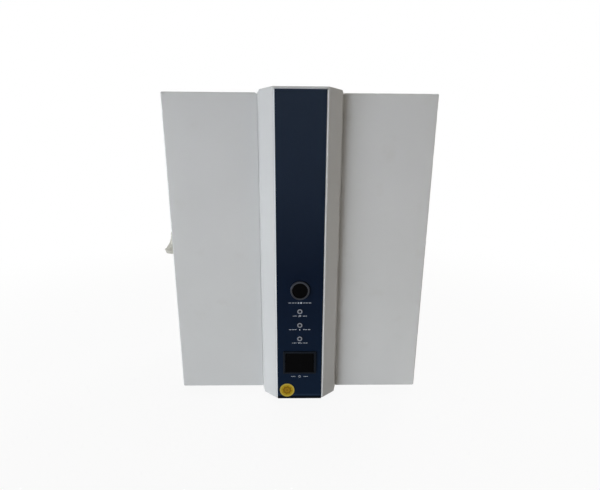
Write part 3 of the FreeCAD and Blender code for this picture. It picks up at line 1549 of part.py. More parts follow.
def hoses():
    """Silicone hoses, each pushed over a tail at both ends."""
    x = size("condenser_x")
    y = BOILER_Y
    grip = size("hose_grip")
    run = size("hose_run")
    bend = size("hose_bend")
    tight = size("small_hose_bend")
    radius = size("nozzle_radius")
    front = ARM_Y - size("hose_front")
    spout_y = size("spout_y")
    spout_end = size("spout_tail") - WALL_X - grip
    over = SPOUT_Z + size("hose_fall")
    hose("distillate_hose", [(x, y, CORE_TIP + grip), (x, y, over), (x - run, spout_y, over),
                             (FEED_X, spout_y, SPOUT_Z), (spout_end, spout_y, SPOUT_Z)],
         [bend, bend, bend], radius)
    arm_lift = (size("cap_height") + size("cap_grip")) / 2
    low_arm = JACKET_BASE - size("cap_height") + arm_lift
    high_arm = JACKET_TOP - size("cap_grip") + arm_lift
    lid_x = FEED_X + size("lid_inlet")
    inlet_y = size("inlet_y")
    tail = size("valve_length") + size("tail_length") - WALL_X
    hose("cooling_hose", [(tail - grip, inlet_y, INLET_Z), (tail + size("hose_lead"), inlet_y, INLET_Z),
                          (lid_x + size("hose_pass"), front, INLET_Z + size("hose_rise")),
                          (x, front, low_arm), (x, ARM_Y + grip, low_arm)],
         [bend, bend, bend], radius)
    lid_top = size("level_base") + size("level_height") + size("lid_thick") + size("lid_pipe")
    hose("return_hose", [(x, ARM_Y + grip, high_arm), (x, front, high_arm),
                         (lid_x, LEVEL_Y, INLET_Z + size("hose_over")),
                         (lid_x, LEVEL_Y, lid_top - size("lid_grip"))],
         [bend, size("hose_sweep")], radius)
    pipe_x = FEED_X - size("standpipe_out")
    waste_y = size("waste_y")
    waste_z = size("waste_z")
    waste_end = size("waste_tail") - WALL_X - grip
    cup_z = size("level_base") - size("level_wall")
    hose("overflow_hose", [(pipe_x, LEVEL_Y, cup_z), (pipe_x, LEVEL_Y, waste_z), (pipe_x, waste_y, waste_z),
                           (waste_end, waste_y, waste_z)],
         [tight, tight], size("standpipe_radius"))
    cock_z = size("cock_z")
    hose("drain_hose", [(FEED_X, y, BOILER_Z - BOILER_R - size("hose_gap")), (FEED_X, y, cock_z),
                        (size("cock_tail") - HALF - grip, y, cock_z)], [tight], radius)


def waste_outlet():
    """Bulkhead tail that leads the overflow out through the left wall."""
    y = size("waste_y")
    z = size("waste_z")
    reach = size("waste_reach")
    inner = size("standpipe_radius")
    tube = rod(size("nozzle_radius"), reach + STEEL + size("thread_length"), -HALF - reach, y, z, X_AXIS)
    tail = rod(inner, size("waste_tail"), -WALL_X, y, z, X_AXIS)
    bore = rod(size("nozzle_bore"), reach, -HALF - reach, y, z, X_AXIS)
    way = rod(inner - size("standpipe_wall"), STEEL + size("waste_tail"), -HALF, y, z, X_AXIS)
    keep(cut(joined([tube, tail, wall_collar(y, z)]), [bore, way]), "waste_outlet")


def drain_cock():
    """Ball cock: body through the left wall, ball on its spindle, and a lever handle."""
    y = BOILER_Y
    z = size("cock_z")
    length = size("cock_length")
    radius = size("cock_radius")
    far_x = -HALF - length
    middle = -HALF - length / 2
    tip = far_x - size("barb_length")
    shell = hexagon(radius, length, far_x, y, z, X_AXIS)
    thread = rod(size("cock_thread"), size("thread_length"), -HALF, y, z, X_AXIS)
    tail = rod(size("nozzle_radius"), size("cock_tail"), -HALF, y, z, X_AXIS)
    barb = rod(size("nozzle_radius"), size("barb_length"), tip, y, z, X_AXIS)
    boss_top = radius + size("boss_rise")
    boss = rod(size("boss_radius"), boss_top, middle, y, z)
    way = rod(size("nozzle_bore"), size("cock_tail") - HALF - tip, tip, y, z, X_AXIS)
    seat = ball(size("ball_radius") + size("ball_play"), middle, y, z)
    hole = rod(size("spindle_radius") + size("run_play"), boss_top, middle, y, z)
    keep(cut(joined([shell, thread, tail, barb, boss]), [way, seat, hole]), "drain_cock")
    plug = ball(size("ball_radius"), middle, y, z)
    port = rod(size("nozzle_bore"), length, middle, y - length / 2, z, Y_AXIS)
    under = boss_top + size("handle_lift")
    top = under + size("handle_thick") + size("spindle_rise")
    spindle = rod(size("spindle_radius"), top, middle, y, z)
    keep(cut(joined([plug, spindle]), [port]), "drain_spindle")
    lever = body_at("drain_handle", middle, y, z + under)
    plan = sketch_on(lever, "XY_Plane")
    hub = size("handle_width") / 2
    tip = size("handle_tip")
    end = size("handle_length")
    outline(plan, [(hub, 0), (tip, end, tip, 1), (0, end + tip, tip, 1), (-tip, end), (-hub, 0, hub, 1),
                   (0, -hub, hub, 1)])
    pad(lever, plan, size("handle_thick"))
    hole = sketch_on(lever, "XY_Plane")
    circle(hole, 0, 0, size("spindle_radius") + size("run_play"))
    pierce(lever, hole)


# ---------------------------------------------------------------- electrics

def din_rail():
    """Top-hat rail on the back plate."""
    body = body_at("din_rail")
    z = size("rail_z")
    rear = BACK_Y - STEEL
    front = rear - size("rail_depth")
    half = size("rail_height") / 2
    inner = half - size("rail_brim")
    t = size("rail_steel")
    hat = sketch_on(body, "YZ_Plane", RAIL_LEFT)
    outline(hat, [(front, z - half), (front + t, z - half), (front + t, z - inner), (rear, z - inner),
                  (rear, z + inner), (front + t, z + inner), (front + t, z + half), (front, z + half),
                  (front, z + inner - t), (rear - t, z + inner - t), (rear - t, z - inner + t),
                  (front, z - inner + t)])
    pad(body, hat, RAIL_RIGHT - RAIL_LEFT)


def rail_devices():
    """Contactor on the rail, and as many terminal blocks beside it as the rail takes."""
    z = size("rail_z")
    front = BACK_Y - STEEL - size("rail_depth")
    left = RAIL_LEFT + size("contactor_left")
    right = left + size("contactor_width")
    middle = (left + right) / 2
    tall = size("contactor_height") / 2
    slim = size("contactor_front") / 2
    edge = size("contactor_shoulder")
    face = front - size("contactor_depth")
    step = face + size("contactor_step")
    lower = box(left, right, step, front, z - tall, z + tall)
    upper = box(left + edge, right - edge, face, step, z - slim, z + slim)
    wells = []
    for x in (middle - size("well_pitch"), middle, middle + size("well_pitch")):
        for well_z in (z - tall + size("well_inset"), z + tall - size("well_inset")):
            wells.append(rod(size("well_radius"), size("screw_well"), x, step, well_z, Y_AXIS))
    keep(cut(joined([lower, upper]), wells), "contactor")
    blocks = []
    wide = size("terminal_width")
    face = front - size("terminal_depth")
    half = size("terminal_height") / 2
    first = right + size("terminal_gap")
    for i in range(int(((RAIL_RIGHT - first) / (wide + SEAM)).number)):
        x = first + (wide + SEAM) * i
        block = box(x, x + wide, face, front, z - half, z + half)
        wells = []
        for well_z in (z - half + size("terminal_inset"), z + half - size("terminal_inset")):
            well = rod(size("terminal_bore"), size("terminal_well"), x + wide / 2, face, well_z, Y_AXIS)
            wells.append(well)
        blocks.append(cut(block, wells))
    group(blocks, "terminal_blocks")


def cable_gland():
    """Gland for the supply cable, through the right wall, with its lock nut."""
    y = size("gland_y")
    z = size("gland_z")
    grip = size("gland_grip")
    tail = size("gland_tail")
    hexed = hexagon(size("gland_hex"), grip, HALF, y, z, X_AXIS)
    dome = doc.addObject("Part::Cone", "Dome")
    bind(dome, "Radius1", size("gland_dome"))
    bind(dome, "Radius2", size("gland_lip"))
    bind(dome, "Height", size("gland_reach") - grip)
    locate(dome, HALF + grip, y, z, X_AXIS)
    thread = rod(size("gland_radius"), STEEL + tail, WALL_X - tail, y, z, X_AXIS)
    bore = rod(size("gland_bore"), size("gland_reach") + STEEL + tail, WALL_X - tail, y, z, X_AXIS)
    keep(cut(joined([hexed, dome, thread]), [bore]), "cable_gland")


# ---------------------------------------------------------------- build and write

def build():
    wing_covers()
    column_cover()
    control_panel()
    back_plate()
    deck_and_roof()
    feet()
    cover_screws()
    partition_plate()
    button()
    lamps()
    board()
    rocker_bezel()
    rocker_paddle()
    boiler_vessel()
    boiler_closure()
    heaters()
    saddles()
    vapour_tube()
    condenser_core()
    condenser_shell()
    spout()
    inlet_valve()
    level_chamber()
    level_parts()
    level_bracket()
    hoses()
    waste_outlet()
    drain_cock()
    din_rail()
    rail_devices()
    cable_gland()
    wall_nuts()
    round_sticker()
    doc.recompute()


def check():
    """Stops before anything is written if an object or a shape has failed."""
    for thing in doc.Objects:
        if "Invalid" in thing.State or "Error" in thing.State:
            raise RuntimeError("%s (%s) failed: %s" % (thing.Name, thing.Label, thing.State))
    for thing in sub_parts:
        if thing.Shape.isNull() or not thing.Shape.isValid() or not thing.Shape.Solids:
            raise RuntimeError("%s has no valid solid" % thing.Label)


def write():
    os.makedirs("parts", exist_ok=True)
    for thing in sub_parts:
        thing.Shape.exportStep(os.path.join("parts", thing.Label + ".step"))
        print("%-22s %2d solids %9.0f mm3" % (thing.Label, len(thing.Shape.Solids), thing.Shape.Volume))


build()
check()
write()
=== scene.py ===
import json
import math

import bmesh
import bpy
from mathutils import Matrix, Vector


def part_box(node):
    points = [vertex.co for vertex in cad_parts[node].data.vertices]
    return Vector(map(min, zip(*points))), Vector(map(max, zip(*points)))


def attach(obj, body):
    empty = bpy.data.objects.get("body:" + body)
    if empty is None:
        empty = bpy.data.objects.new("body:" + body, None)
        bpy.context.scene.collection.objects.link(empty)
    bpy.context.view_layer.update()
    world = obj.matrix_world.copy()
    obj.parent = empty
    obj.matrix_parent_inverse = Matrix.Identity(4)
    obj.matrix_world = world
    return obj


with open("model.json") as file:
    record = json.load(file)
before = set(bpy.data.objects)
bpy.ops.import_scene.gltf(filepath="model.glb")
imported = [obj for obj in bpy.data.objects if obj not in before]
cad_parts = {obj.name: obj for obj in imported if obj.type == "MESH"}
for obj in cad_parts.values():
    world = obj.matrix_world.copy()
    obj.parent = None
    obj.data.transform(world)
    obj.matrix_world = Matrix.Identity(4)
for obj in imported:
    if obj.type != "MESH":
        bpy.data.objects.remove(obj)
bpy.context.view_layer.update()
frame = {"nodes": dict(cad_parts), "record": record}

# Looks of the water still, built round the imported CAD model. Metres, Z up, front towards -Y.
# Colours are linear RGB.

NODES = frame["nodes"]
MILLIMETRE = 0.001
BLACK = (0.0, 0.0, 0.0)
WHITE = (1.0, 1.0, 1.0)
SQUARE = ((-1, -1), (1, -1), (1, 1), (-1, 1))       # corners of a square two units wide

# ---------------------------------------------------------------- places taken from the frame

PANEL_LOW, PANEL_HIGH = (Vector(corner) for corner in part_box("control_panel"))
PANEL_FRONT = PANEL_LOW.y
BUTTON_FOOT = Vector(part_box("button_bezel")[0]).z
SWITCH_FOOT = Vector(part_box("rocker_bezel")[0]).z
LAMP_LOW, LAMP_HIGH = (Vector(corner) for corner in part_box("lamp_bezels"))
LAMP_RADIUS = (LAMP_HIGH.x - LAMP_LOW.x) / 2
LAMP_ZS = [LAMP_HIGH.z - LAMP_RADIUS, (LAMP_LOW.z + LAMP_HIGH.z) / 2, LAMP_LOW.z + LAMP_RADIUS]
STICKER_LOW, STICKER_HIGH = (Vector(corner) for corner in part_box("round_sticker"))
STICKER_MIDDLE = (STICKER_LOW + STICKER_HIGH) / 2
STICKER_RADIUS = (STICKER_HIGH.x - STICKER_LOW.x) / 2

# ---------------------------------------------------------------- material helpers

BEVEL_SAMPLES = 4


class Surface:
    """A node material under construction: one Principled shader and what feeds it."""

    def __init__(self, name):
        self.material = bpy.data.materials.new(name)
        self.material.use_nodes = True
        self.tree = self.material.node_tree
        self.shader = self.tree.nodes["Principled BSDF"]
        self.place = self.node("ShaderNodeTexCoord").outputs["Object"]

    def node(self, kind, **settings):
        made = self.tree.nodes.new(kind)
        for key, value in settings.items():
            setattr(made, key, value)
        return made

    def link(self, source, target):
        self.tree.links.new(source, target)

    def set(self, **values):
        """Sets sockets of the shader. An underscore stands for a space in their names."""
        for key, value in values.items():
            self.shader.inputs[key.replace("_", " ")].default_value = value
        return self

    def axes(self, place=None):
        """The X, Y and Z outputs of a place, else of the object's coordinates."""
        made = self.node("ShaderNodeSeparateXYZ")
        self.link(place or self.place, made.inputs["Vector"])
        return made.outputs

    def mapped(self, **values):
        """The object's coordinates, moved, turned or stretched."""
        mapping = self.node("ShaderNodeMapping")
        for key, value in values.items():
            mapping.inputs[key].default_value = value
        self.link(self.place, mapping.inputs["Vector"])
        return mapping.outputs["Vector"]

    def noise(self, size, detail=2.0, place=None):
        """Noise whose lumps are about size metres across."""
        made = self.node("ShaderNodeTexNoise")
        made.inputs["Scale"].default_value = 1 / size
        made.inputs["Detail"].default_value = detail
        self.link(place or self.place, made.inputs["Vector"])
        return made.outputs["Fac"]

    def math(self, operation, first, second=None):
        made = self.node("ShaderNodeMath", operation=operation)
        for socket, value in zip(made.inputs, (first, second)):
            if isinstance(value, (int, float)):
                socket.default_value = value
            elif value is not None:
                self.link(value, socket)
        return made.outputs["Value"]

    def span(self, factor, start, end, low=0.0, high=1.0, kind="LINEAR"):
        """Takes start..end to low..high and holds the value outside that range."""
        made = self.node("ShaderNodeMapRange", interpolation_type=kind)
        limits = {"From Min": start, "From Max": end, "To Min": low, "To Max": high}
        for key, value in limits.items():
            made.inputs[key].default_value = value
        self.link(factor, made.inputs["Value"])
        return made.outputs["Result"]

    def ramp(self, factor, stops):
        """stops are (position, colour) pairs."""
        made = self.node("ShaderNodeValToRGB")
        band = made.color_ramp
        while len(band.elements) < len(stops):
            band.elements.new(0.5)
        for element, (position, colour) in zip(band.elements, stops):
            element.position = position
            element.color = (*colour, 1)
        self.link(factor, made.inputs["Fac"])
        return made.outputs["Color"]

    def shades(self, factor, colour, first, last, start=0.3, end=0.7):
        """The colour, from first to last times as bright."""
        return self.ramp(factor, [(start, tinted(colour, first)), (end, tinted(colour, last))])

    def mix(self, factor, first, second, blend="MIX"):
        made = self.node("ShaderNodeMix", data_type="RGBA", blend_type=blend)
        for name, value in (("Factor", factor), ("A", first), ("B", second)):
            socket = next(s for s in made.inputs if s.name == name and s.enabled)
            if isinstance(value, (int, float)):
                socket.default_value = value
            elif isinstance(value, tuple):
                socket.default_value = (*value, 1)
            else:
                self.link(value, socket)
        return next(s for s in made.outputs if s.enabled)

    def colour(self, output):
        self.link(output, self.shader.inputs["Base Color"])
        return self

    def roughness(self, factor, low, high):
        self.link(self.span(factor, 0.0, 1.0, low, high), self.shader.inputs["Roughness"])
        return self

    def relief(self, height, depth, edge=0.0):
        """Bump of the given depth in metres over a softened edge of the given radius."""
        bump = self.node("ShaderNodeBump")
        bump.inputs["Distance"].default_value = depth
        self.link(height, bump.inputs["Height"])
        if edge:
            bevel = self.node("ShaderNodeBevel", samples=BEVEL_SAMPLES)
            bevel.inputs["Radius"].default_value = edge
            self.link(bevel.outputs["Normal"], bump.inputs["Normal"])
        self.link(bump.outputs["Normal"], self.shader.inputs["Normal"])
        return self


def tinted(colour, factor):
    return tuple(min(1.0, channel * factor) for channel in colour)


def painted(name, colour, peel=1.1 * MILLIMETRE):
    """Powder coat: fine orange peel, soft clouds and a little handling grime."""
    s = Surface(name).set(Specular_IOR_Level=0.25)
    clouds = s.noise(size=160 * MILLIMETRE, detail=3)
    grime = s.noise(size=35 * MILLIMETRE, detail=6)
    marks = s.ramp(grime, [(0.62, WHITE), (0.78, (0.965, 0.96, 0.95))])
    s.colour(s.mix(1.0, s.shades(clouds, colour, 0.975, 1.02), marks, "MULTIPLY"))
    s.roughness(grime, low=0.36, high=0.5)
    s.relief(s.noise(peel, detail=1), depth=0.012 * MILLIMETRE, edge=0.5 * MILLIMETRE)
    return s.material


def moulded(name, colour, rough=(0.4, 0.55), grain=0.5 * MILLIMETRE, depth=0.02 * MILLIMETRE,
            gloss=0.5):
    """Moulded plastic with a fine spark-eroded grain."""
    s = Surface(name).set(Specular_IOR_Level=gloss)
    flow = s.noise(size=20 * MILLIMETRE, detail=4)
    s.colour(s.shades(flow, colour, 0.93, 1.06))
    s.roughness(flow, *rough)
    return s.relief(s.noise(grain), depth, edge=0.25 * MILLIMETRE).material


def metal(name, colour, rough=(0.2, 0.4), stretch=(1, 1, 40), edge=0.2 * MILLIMETRE):
    """Worked metal: streaks that are finer along the stretched axes, with duller patches."""
    s = Surface(name).set(Metallic=1.0)
    streaks = s.noise(size=0.6 * MILLIMETRE, detail=3, place=s.mapped(Scale=stretch))
    patches = s.noise(size=12 * MILLIMETRE, detail=4)
    s.colour(s.mix(0.5, s.shades(streaks, colour, 0.88, 1.08),
                   s.shades(patches, colour, 0.9, 1.05, start=0.35, end=0.65)))
    s.roughness(patches, *rough)
    return s.relief(streaks, depth=0.004 * MILLIMETRE, edge=edge).material


def rubbery(name, colour, rough=(0.6, 0.8), clear=0.0):
    """Rubber or silicone with mottling and a dusty sheen."""
    s = Surface(name).set(Subsurface_Weight=clear, Subsurface_Scale=2 * MILLIMETRE)
    mottle = s.noise(size=6 * MILLIMETRE, detail=5)
    s.colour(s.shades(mottle, colour, 0.85, 1.12))
    s.roughness(mottle, *rough)
    s.relief(s.noise(size=0.4 * MILLIMETRE, detail=3), depth=0.03 * MILLIMETRE,
             edge=0.3 * MILLIMETRE)
    return s.material


def glassy(name, colour):
    """Borosilicate with drawn streaks and faint lime spotting."""
    s = Surface(name).set(IOR=1.47, Transmission_Weight=1.0)
    spots = s.noise(size=4 * MILLIMETRE, detail=6)
    s.colour(s.shades(spots, colour, 1.0, 0.9, start=0.55, end=0.72))
    s.roughness(spots, low=0.02, high=0.12)
    streaks = s.noise(size=20 * MILLIMETRE, place=s.mapped(Scale=(1, 1, 6)))
    return s.relief(streaks, depth=0.05 * MILLIMETRE).material


# ---------------------------------------------------------------- materials of their own

NAVY_WITH_PAINTED_REFLECTION = (                       # share of the panel's height, and the film's colour there; the lighter top is a painted reflection
    (0.0, (0.0046, 0.0112, 0.026)),
    (0.44, (0.0033, 0.0072, 0.0182)),
    (0.72, (0.0105, 0.0165, 0.03)),
    (1.0, (0.0145, 0.0215, 0.035)),
)
FOOT_BAND = 6 * MILLIMETRE      # darker band at the film's foot
FOOT_BAND_NAVY = (0.0008, 0.0025, 0.0055)
LINE_NAVY = (0.014, 0.025, 0.046)
HEAD_RIM = 1.4 * MILLIMETRE    # unprinted rim at the film's top
RIM_GREY = (0.44, 0.44, 0.45)


def overlay_film():
    """Printed film of the control panel: deep navy, with a painted reflection that lightens it
    towards the top.
    """
    s = Surface("panel_navy_film").set(Specular_IOR_Level=0.03)
    up = s.axes()["Z"]
    # The ramp paints a reflection on the film: lighter towards the top, darkest a little below
    # the middle.
    navy = s.ramp(s.span(up, PANEL_LOW.z, PANEL_HIGH.z), NAVY_WITH_PAINTED_REFLECTION)
    # The darker band fills the lower half of this span, and the paler line lies above it.
    foot = s.span(up, PANEL_LOW.z, PANEL_LOW.z + FOOT_BAND * 2)
    foot_band = s.ramp(foot, [(0.46, WHITE), (0.5, BLACK)])
    line = s.ramp(foot, [(0.46, BLACK), (0.5, WHITE), (0.7, WHITE), (0.74, BLACK)])
    navy = s.mix(line, s.mix(foot_band, navy, FOOT_BAND_NAVY), LINE_NAVY)
    # The rim fills the upper half of this span.
    head = s.span(up, PANEL_HIGH.z - HEAD_RIM * 2, PANEL_HIGH.z)
    navy = s.mix(s.ramp(head, [(0.46, BLACK), (0.5, WHITE)]), navy, RIM_GREY)
    dust = s.ramp(s.noise(size=2.5 * MILLIMETRE, detail=8),
                  [(0.6, BLACK), (0.85, (0.004, 0.004, 0.004))])
    s.colour(s.mix(1.0, navy, dust, "ADD"))
    s.roughness(s.noise(size=50 * MILLIMETRE, detail=4), low=0.3, high=0.42)
    s.relief(s.noise(size=0.35 * MILLIMETRE), depth=0.006 * MILLIMETRE, edge=0.4 * MILLIMETRE)
    return s.material


LOBES = 8.0
LOBE_DEPTH = 0.05              # share of the sticker's radius
ROSETTE = (                    # share of the sticker's radius, and the foil's colour there
    (0.0, (0.12, 0.05, 0.006)),
    (0.22, (0.33, 0.19, 0.008)),
    (0.5, (0.15, 0.07, 0.006)),
    (0.62, (0.34, 0.22, 0.008)),
    (0.7, (0.4, 0.27, 0.01)),
)
RIM_GOLD = (0.43, 0.32, 0.045)
RING_TINT = (0.55, 0.4, 0.25)


def seal_foil():
    """Gold foil of the round sticker: bright rim, dark line and a plain eight-lobed rosette."""
    s = Surface("sticker_gold_foil").set(Specular_IOR_Level=0.05)
    axes = s.axes(s.mapped(Location=-STICKER_MIDDLE))
    across, up = axes["X"], axes["Z"]
    squares = s.math("ADD", s.math("MULTIPLY", across, across), s.math("MULTIPLY", up, up))
    radius = s.math("DIVIDE", s.math("SQRT", squares), STICKER_RADIUS)
    turns = s.math("MULTIPLY", s.math("ARCTAN2", up, across), LOBES)
    wavy = s.math("ADD", radius, s.math("MULTIPLY", s.math("SINE", turns), LOBE_DEPTH))
    rim = s.ramp(radius, [(0.76, BLACK), (0.79, WHITE)])
    line = s.ramp(radius, [(0.72, WHITE), (0.76, RING_TINT), (0.8, WHITE)])
    s.colour(s.mix(1.0, s.mix(rim, s.ramp(wavy, ROSETTE), RIM_GOLD), line, "MULTIPLY"))
    s.roughness(s.noise(size=2 * MILLIMETRE, detail=3), low=0.28, high=0.42)
    return s.relief(wavy, depth=0.05 * MILLIMETRE).material


def lamp_lens():
    """Unlit smoked lens with a moulded diffuser pattern."""
    s = Surface("lamp_lens_smoked").set(Specular_IOR_Level=0.06)
    cells = s.node("ShaderNodeTexVoronoi")
    cells.inputs["Scale"].default_value = 1 / (0.7 * MILLIMETRE)
    s.link(s.place, cells.inputs["Vector"])
    away = cells.outputs["Distance"]
    s.colour(s.ramp(away, [(0.0, (0.012, 0.018, 0.028)), (0.6, (0.005, 0.008, 0.014))]))
    s.roughness(away, low=0.12, high=0.3)
    return s.relief(away, depth=0.05 * MILLIMETRE).material


BRICKS_PER_METRE = 220


def circuit_board():
    """Green laminate with lighter tracks under the solder mask."""
    s = Surface("board_green_mask")
    bricks = s.node("ShaderNodeTexBrick")
    bricks.inputs["Scale"].default_value = BRICKS_PER_METRE
    bricks.inputs["Color1"].default_value = (0.012, 0.085, 0.035, 1)
    bricks.inputs["Color2"].default_value = (0.02, 0.12, 0.05, 1)
    bricks.inputs["Mortar"].default_value = (0.03, 0.17, 0.07, 1)
    s.link(s.mapped(Rotation=(math.pi / 2, 0, 0)), bricks.inputs["Vector"])
    s.colour(bricks.outputs["Color"])
    s.roughness(s.noise(size=3 * MILLIMETRE, detail=3), low=0.25, high=0.45)
    return s.relief(bricks.outputs["Fac"], depth=0.03 * MILLIMETRE).material


def pale_ink():
    """Pale screen-printed ink, slightly broken at its edges."""
    s = Surface("panel_ink_pale")
    broken = s.noise(size=0.3 * MILLIMETRE, detail=4)
    s.colour(s.ramp(broken, [(0.25, (0.3, 0.32, 0.36)), (0.5, (0.5, 0.53, 0.58))]))
    s.roughness(broken, low=0.4, high=0.6)
    return s.relief(broken, depth=0.01 * MILLIMETRE).material


def edge_highlight():
    """Painted highlight along the edge of the column's coat beside the film."""
    s = Surface("column_edge_highlight").set(Specular_IOR_Level=0.3)
    streaks = s.noise(size=4 * MILLIMETRE, detail=3, place=s.mapped(Scale=(1, 1, 0.1)))
    s.colour(s.ramp(streaks, [(0.3, (0.75, 0.76, 0.77)), (0.7, (0.82, 0.83, 0.84))]))
    s.roughness(streaks, low=0.3, high=0.42)
    return s.relief(s.noise(size=1.1 * MILLIMETRE, detail=1), depth=0.012 * MILLIMETRE).material


# ---------------------------------------------------------------- materials of the CAD nodes

GREY_WHITE = (0.52, 0.52, 0.515)
PITCH_BLACK = (0.0008, 0.0008, 0.001)
STEEL = (0.56, 0.56, 0.55)
BRASS = (0.62, 0.45, 0.2)
DULL = (0.35, 0.6)             # ranges of roughness
SATIN = (0.3, 0.42)
SILKY = (0.3, 0.5)

MATERIALS = {                  # by the slot's name in the record
    "casing_paint": painted("casing_powder_coat", GREY_WHITE),
    "back_paint": painted("back_powder_coat", tinted(GREY_WHITE, 0.93), peel=1.4 * MILLIMETRE),
    "roof_paint": painted("roof_powder_coat", tinted(GREY_WHITE, 0.98)),
    "tray_steel": metal("tray_zinc_sheet", STEEL, DULL, (30, 1, 1)),
    "panel_navy": overlay_film(),
    "foot_rubber": rubbery("foot_black_rubber", (0.022, 0.022, 0.023)),
    "screw_steel": metal("screw_plated_steel", STEEL, (0.22, 0.45), (8, 8, 8)),
    "button_ring": metal("button_anodised_ring", (0.043, 0.046, 0.054), (0.28, 0.4), (12, 1, 12)),
    "button_black": moulded("button_black_satin", PITCH_BLACK, SATIN, grain=0.4 * MILLIMETRE,
                            depth=0.006 * MILLIMETRE, gloss=0.025),
    "nut_plastic": moulded("nut_black_plastic", (0.03, 0.03, 0.032)),
    "contact_plastic": moulded("contact_grey_plastic", (0.14, 0.145, 0.15)),
    "lamp_ring": metal("lamp_bright_ring", (0.2, 0.215, 0.245), (0.15, 0.28), (1, 1, 1),
                       edge=0.1 * MILLIMETRE),
    "lamp_lens": lamp_lens(),
    "board_green": circuit_board(),
    "spacer_brass": metal("spacer_turned_brass", BRASS, (0.25, 0.4), (1, 30, 1)),
    "switch_rim": moulded("switch_rim_plastic", (0.006, 0.008, 0.012), (0.42, 0.55), gloss=0.05),
    "switch_black": moulded("switch_black_satin", PITCH_BLACK, SATIN,
                            depth=0.006 * MILLIMETRE, gloss=0.025),
    "boiler_glass": glassy("boiler_borosilicate", (0.93, 0.97, 0.96)),
    "tube_glass": glassy("tube_borosilicate", (0.95, 0.98, 0.97)),
    "jacket_glass": glassy("jacket_borosilicate", (0.92, 0.97, 0.98)),
    "gasket_silicone": rubbery("gasket_red_silicone", (0.42, 0.1, 0.06), clear=0.05),
    "flange_steel": metal("flange_turned_stainless", STEEL, (0.18, 0.35), (1, 30, 30)),
    "element_sheath": metal("element_tinted_sheath", (0.2, 0.17, 0.14), DULL, (1, 12, 12)),
    "nut_brass": metal("nut_brass", BRASS, (0.25, 0.45), (12, 1, 1)),
    "saddle_rubber": rubbery("saddle_grey_rubber", (0.09, 0.09, 0.09)),
    "sleeve_silicone": rubbery("sleeve_clear_silicone", (0.62, 0.6, 0.54), SILKY, clear=0.3),
    "hose_silicone": rubbery("hose_clear_silicone", (0.6, 0.59, 0.55), SILKY, clear=0.3),
    "cap_plastic": moulded("condenser_cap_plastic", (0.6, 0.61, 0.6)),
    "clamp_paint": painted("clamp_dark_paint", (0.05, 0.052, 0.056)),
    "spout_cream": moulded("spout_cream_plastic", (0.43, 0.415, 0.365), grain=0.6 * MILLIMETRE,
                           depth=0.03 * MILLIMETRE),
    "valve_plastic": moulded("valve_white_plastic", (0.6, 0.6, 0.57)),
    "coil_plastic": moulded("coil_dark_plastic", (0.02, 0.026, 0.06)),
    "chamber_plastic": moulded("chamber_white_plastic", (0.58, 0.6, 0.57)),
    "stem_steel": metal("stem_polished_steel", STEEL, (0.1, 0.25)),
    "float_plastic": moulded("float_red_plastic", (0.45, 0.04, 0.02)),
    "cock_brass": metal("cock_nickelled_brass", (0.56, 0.5, 0.38), (0.2, 0.42), (20, 1, 1)),
    "spindle_chrome": metal("spindle_chrome", (0.6, 0.6, 0.62), (0.06, 0.18)),
    "handle_paint": moulded("handle_dipped_black", (0.012, 0.012, 0.013), (0.3, 0.45)),
    "rail_zinc": metal("rail_zinc", STEEL, (0.35, 0.55), (30, 1, 1)),
    "contactor_plastic": moulded("contactor_plastic", (0.045, 0.047, 0.05)),
    "terminal_plastic": moulded("terminal_grey_plastic", (0.32, 0.32, 0.3)),
    "gland_plastic": moulded("gland_black_plastic", (0.018, 0.018, 0.019), (0.4, 0.6)),
    "sticker_gold": seal_foil(),
}


def dress_nodes():
    """Gives each CAD node the material of its slot in the record."""
    for row in frame["record"]["subparts"]:
        node = NODES[row["node"]]
        for spot in node.material_slots:
            spot.material = MATERIALS[row["material_slot"]]


# ---------------------------------------------------------------- flat films on the column

FILM_RISE = 0.05 * MILLIMETRE      # thickness of a film
WELD = 1e-7
INK = pale_ink()


def piece_from(name, mesh, body, material):
    thing = bpy.data.objects.new(name, mesh)
    bpy.context.collection.objects.link(thing)
    mesh.materials.append(material)
    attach(thing, body)
    return thing


def on_face(across, up):
    """A step in the plane of the column's face."""
    return Vector((across, 0, up))


def flat_outline(build, points):
    build.faces.new([build.verts.new(point) for point in points])


def flat_bar(build, centre, width, height):
    flat_outline(build, [centre + on_face(x * width / 2, z * height / 2) for x, z in SQUARE])


def flat_ring(build, centre, outer, inner, start, sweep, steps=48):
    """Part of a flat ring, from the angle start on."""
    rows = []
    for i in range(steps + 1):
        angle = start + sweep * i / steps
        way = on_face(math.cos(angle), math.sin(angle))
        rows.append([build.verts.new(centre + way * radius) for radius in (inner, outer)])
    for first, second in zip(rows, rows[1:]):
        build.faces.new((first[0], first[1], second[1], second[0]))


def film(build, name, material=INK):
    """Thickens flat shapes on a front face into a closed film that rides with the casing."""
    grown = bmesh.ops.extrude_face_region(build, geom=build.faces[:])
    moved = [g for g in grown["geom"] if isinstance(g, bmesh.types.BMVert)]
    bmesh.ops.translate(build, verts=moved, vec=(0, -FILM_RISE, 0))
    bmesh.ops.remove_doubles(build, verts=build.verts, dist=WELD)
    bmesh.ops.recalc_face_normals(build, faces=build.faces)
    mesh = bpy.data.meshes.new(name)
    build.to_mesh(mesh)
    build.free()
    piece_from(name, mesh, "casing", material)


STRIP_WIDE = 1.9 * MILLIMETRE
STRIP_SHORTER = 5 * MILLIMETRE     # than the panel, both ends together


def highlight_strips():
    """Painted highlight strips on the edges of the column's face, left and right of the panel."""
    build = bmesh.new()
    middle = (PANEL_LOW.z + PANEL_HIGH.z) / 2
    height = PANEL_HIGH.z - PANEL_LOW.z - STRIP_SHORTER
    for x in (PANEL_LOW.x - STRIP_WIDE / 2, PANEL_HIGH.x + STRIP_WIDE / 2):
        flat_bar(build, Vector((x, PANEL_HIGH.y, middle)), STRIP_WIDE, height)
    film(build, "column_highlight_strips", edge_highlight())


# ---------------------------------------------------------------- printed signs on the panel

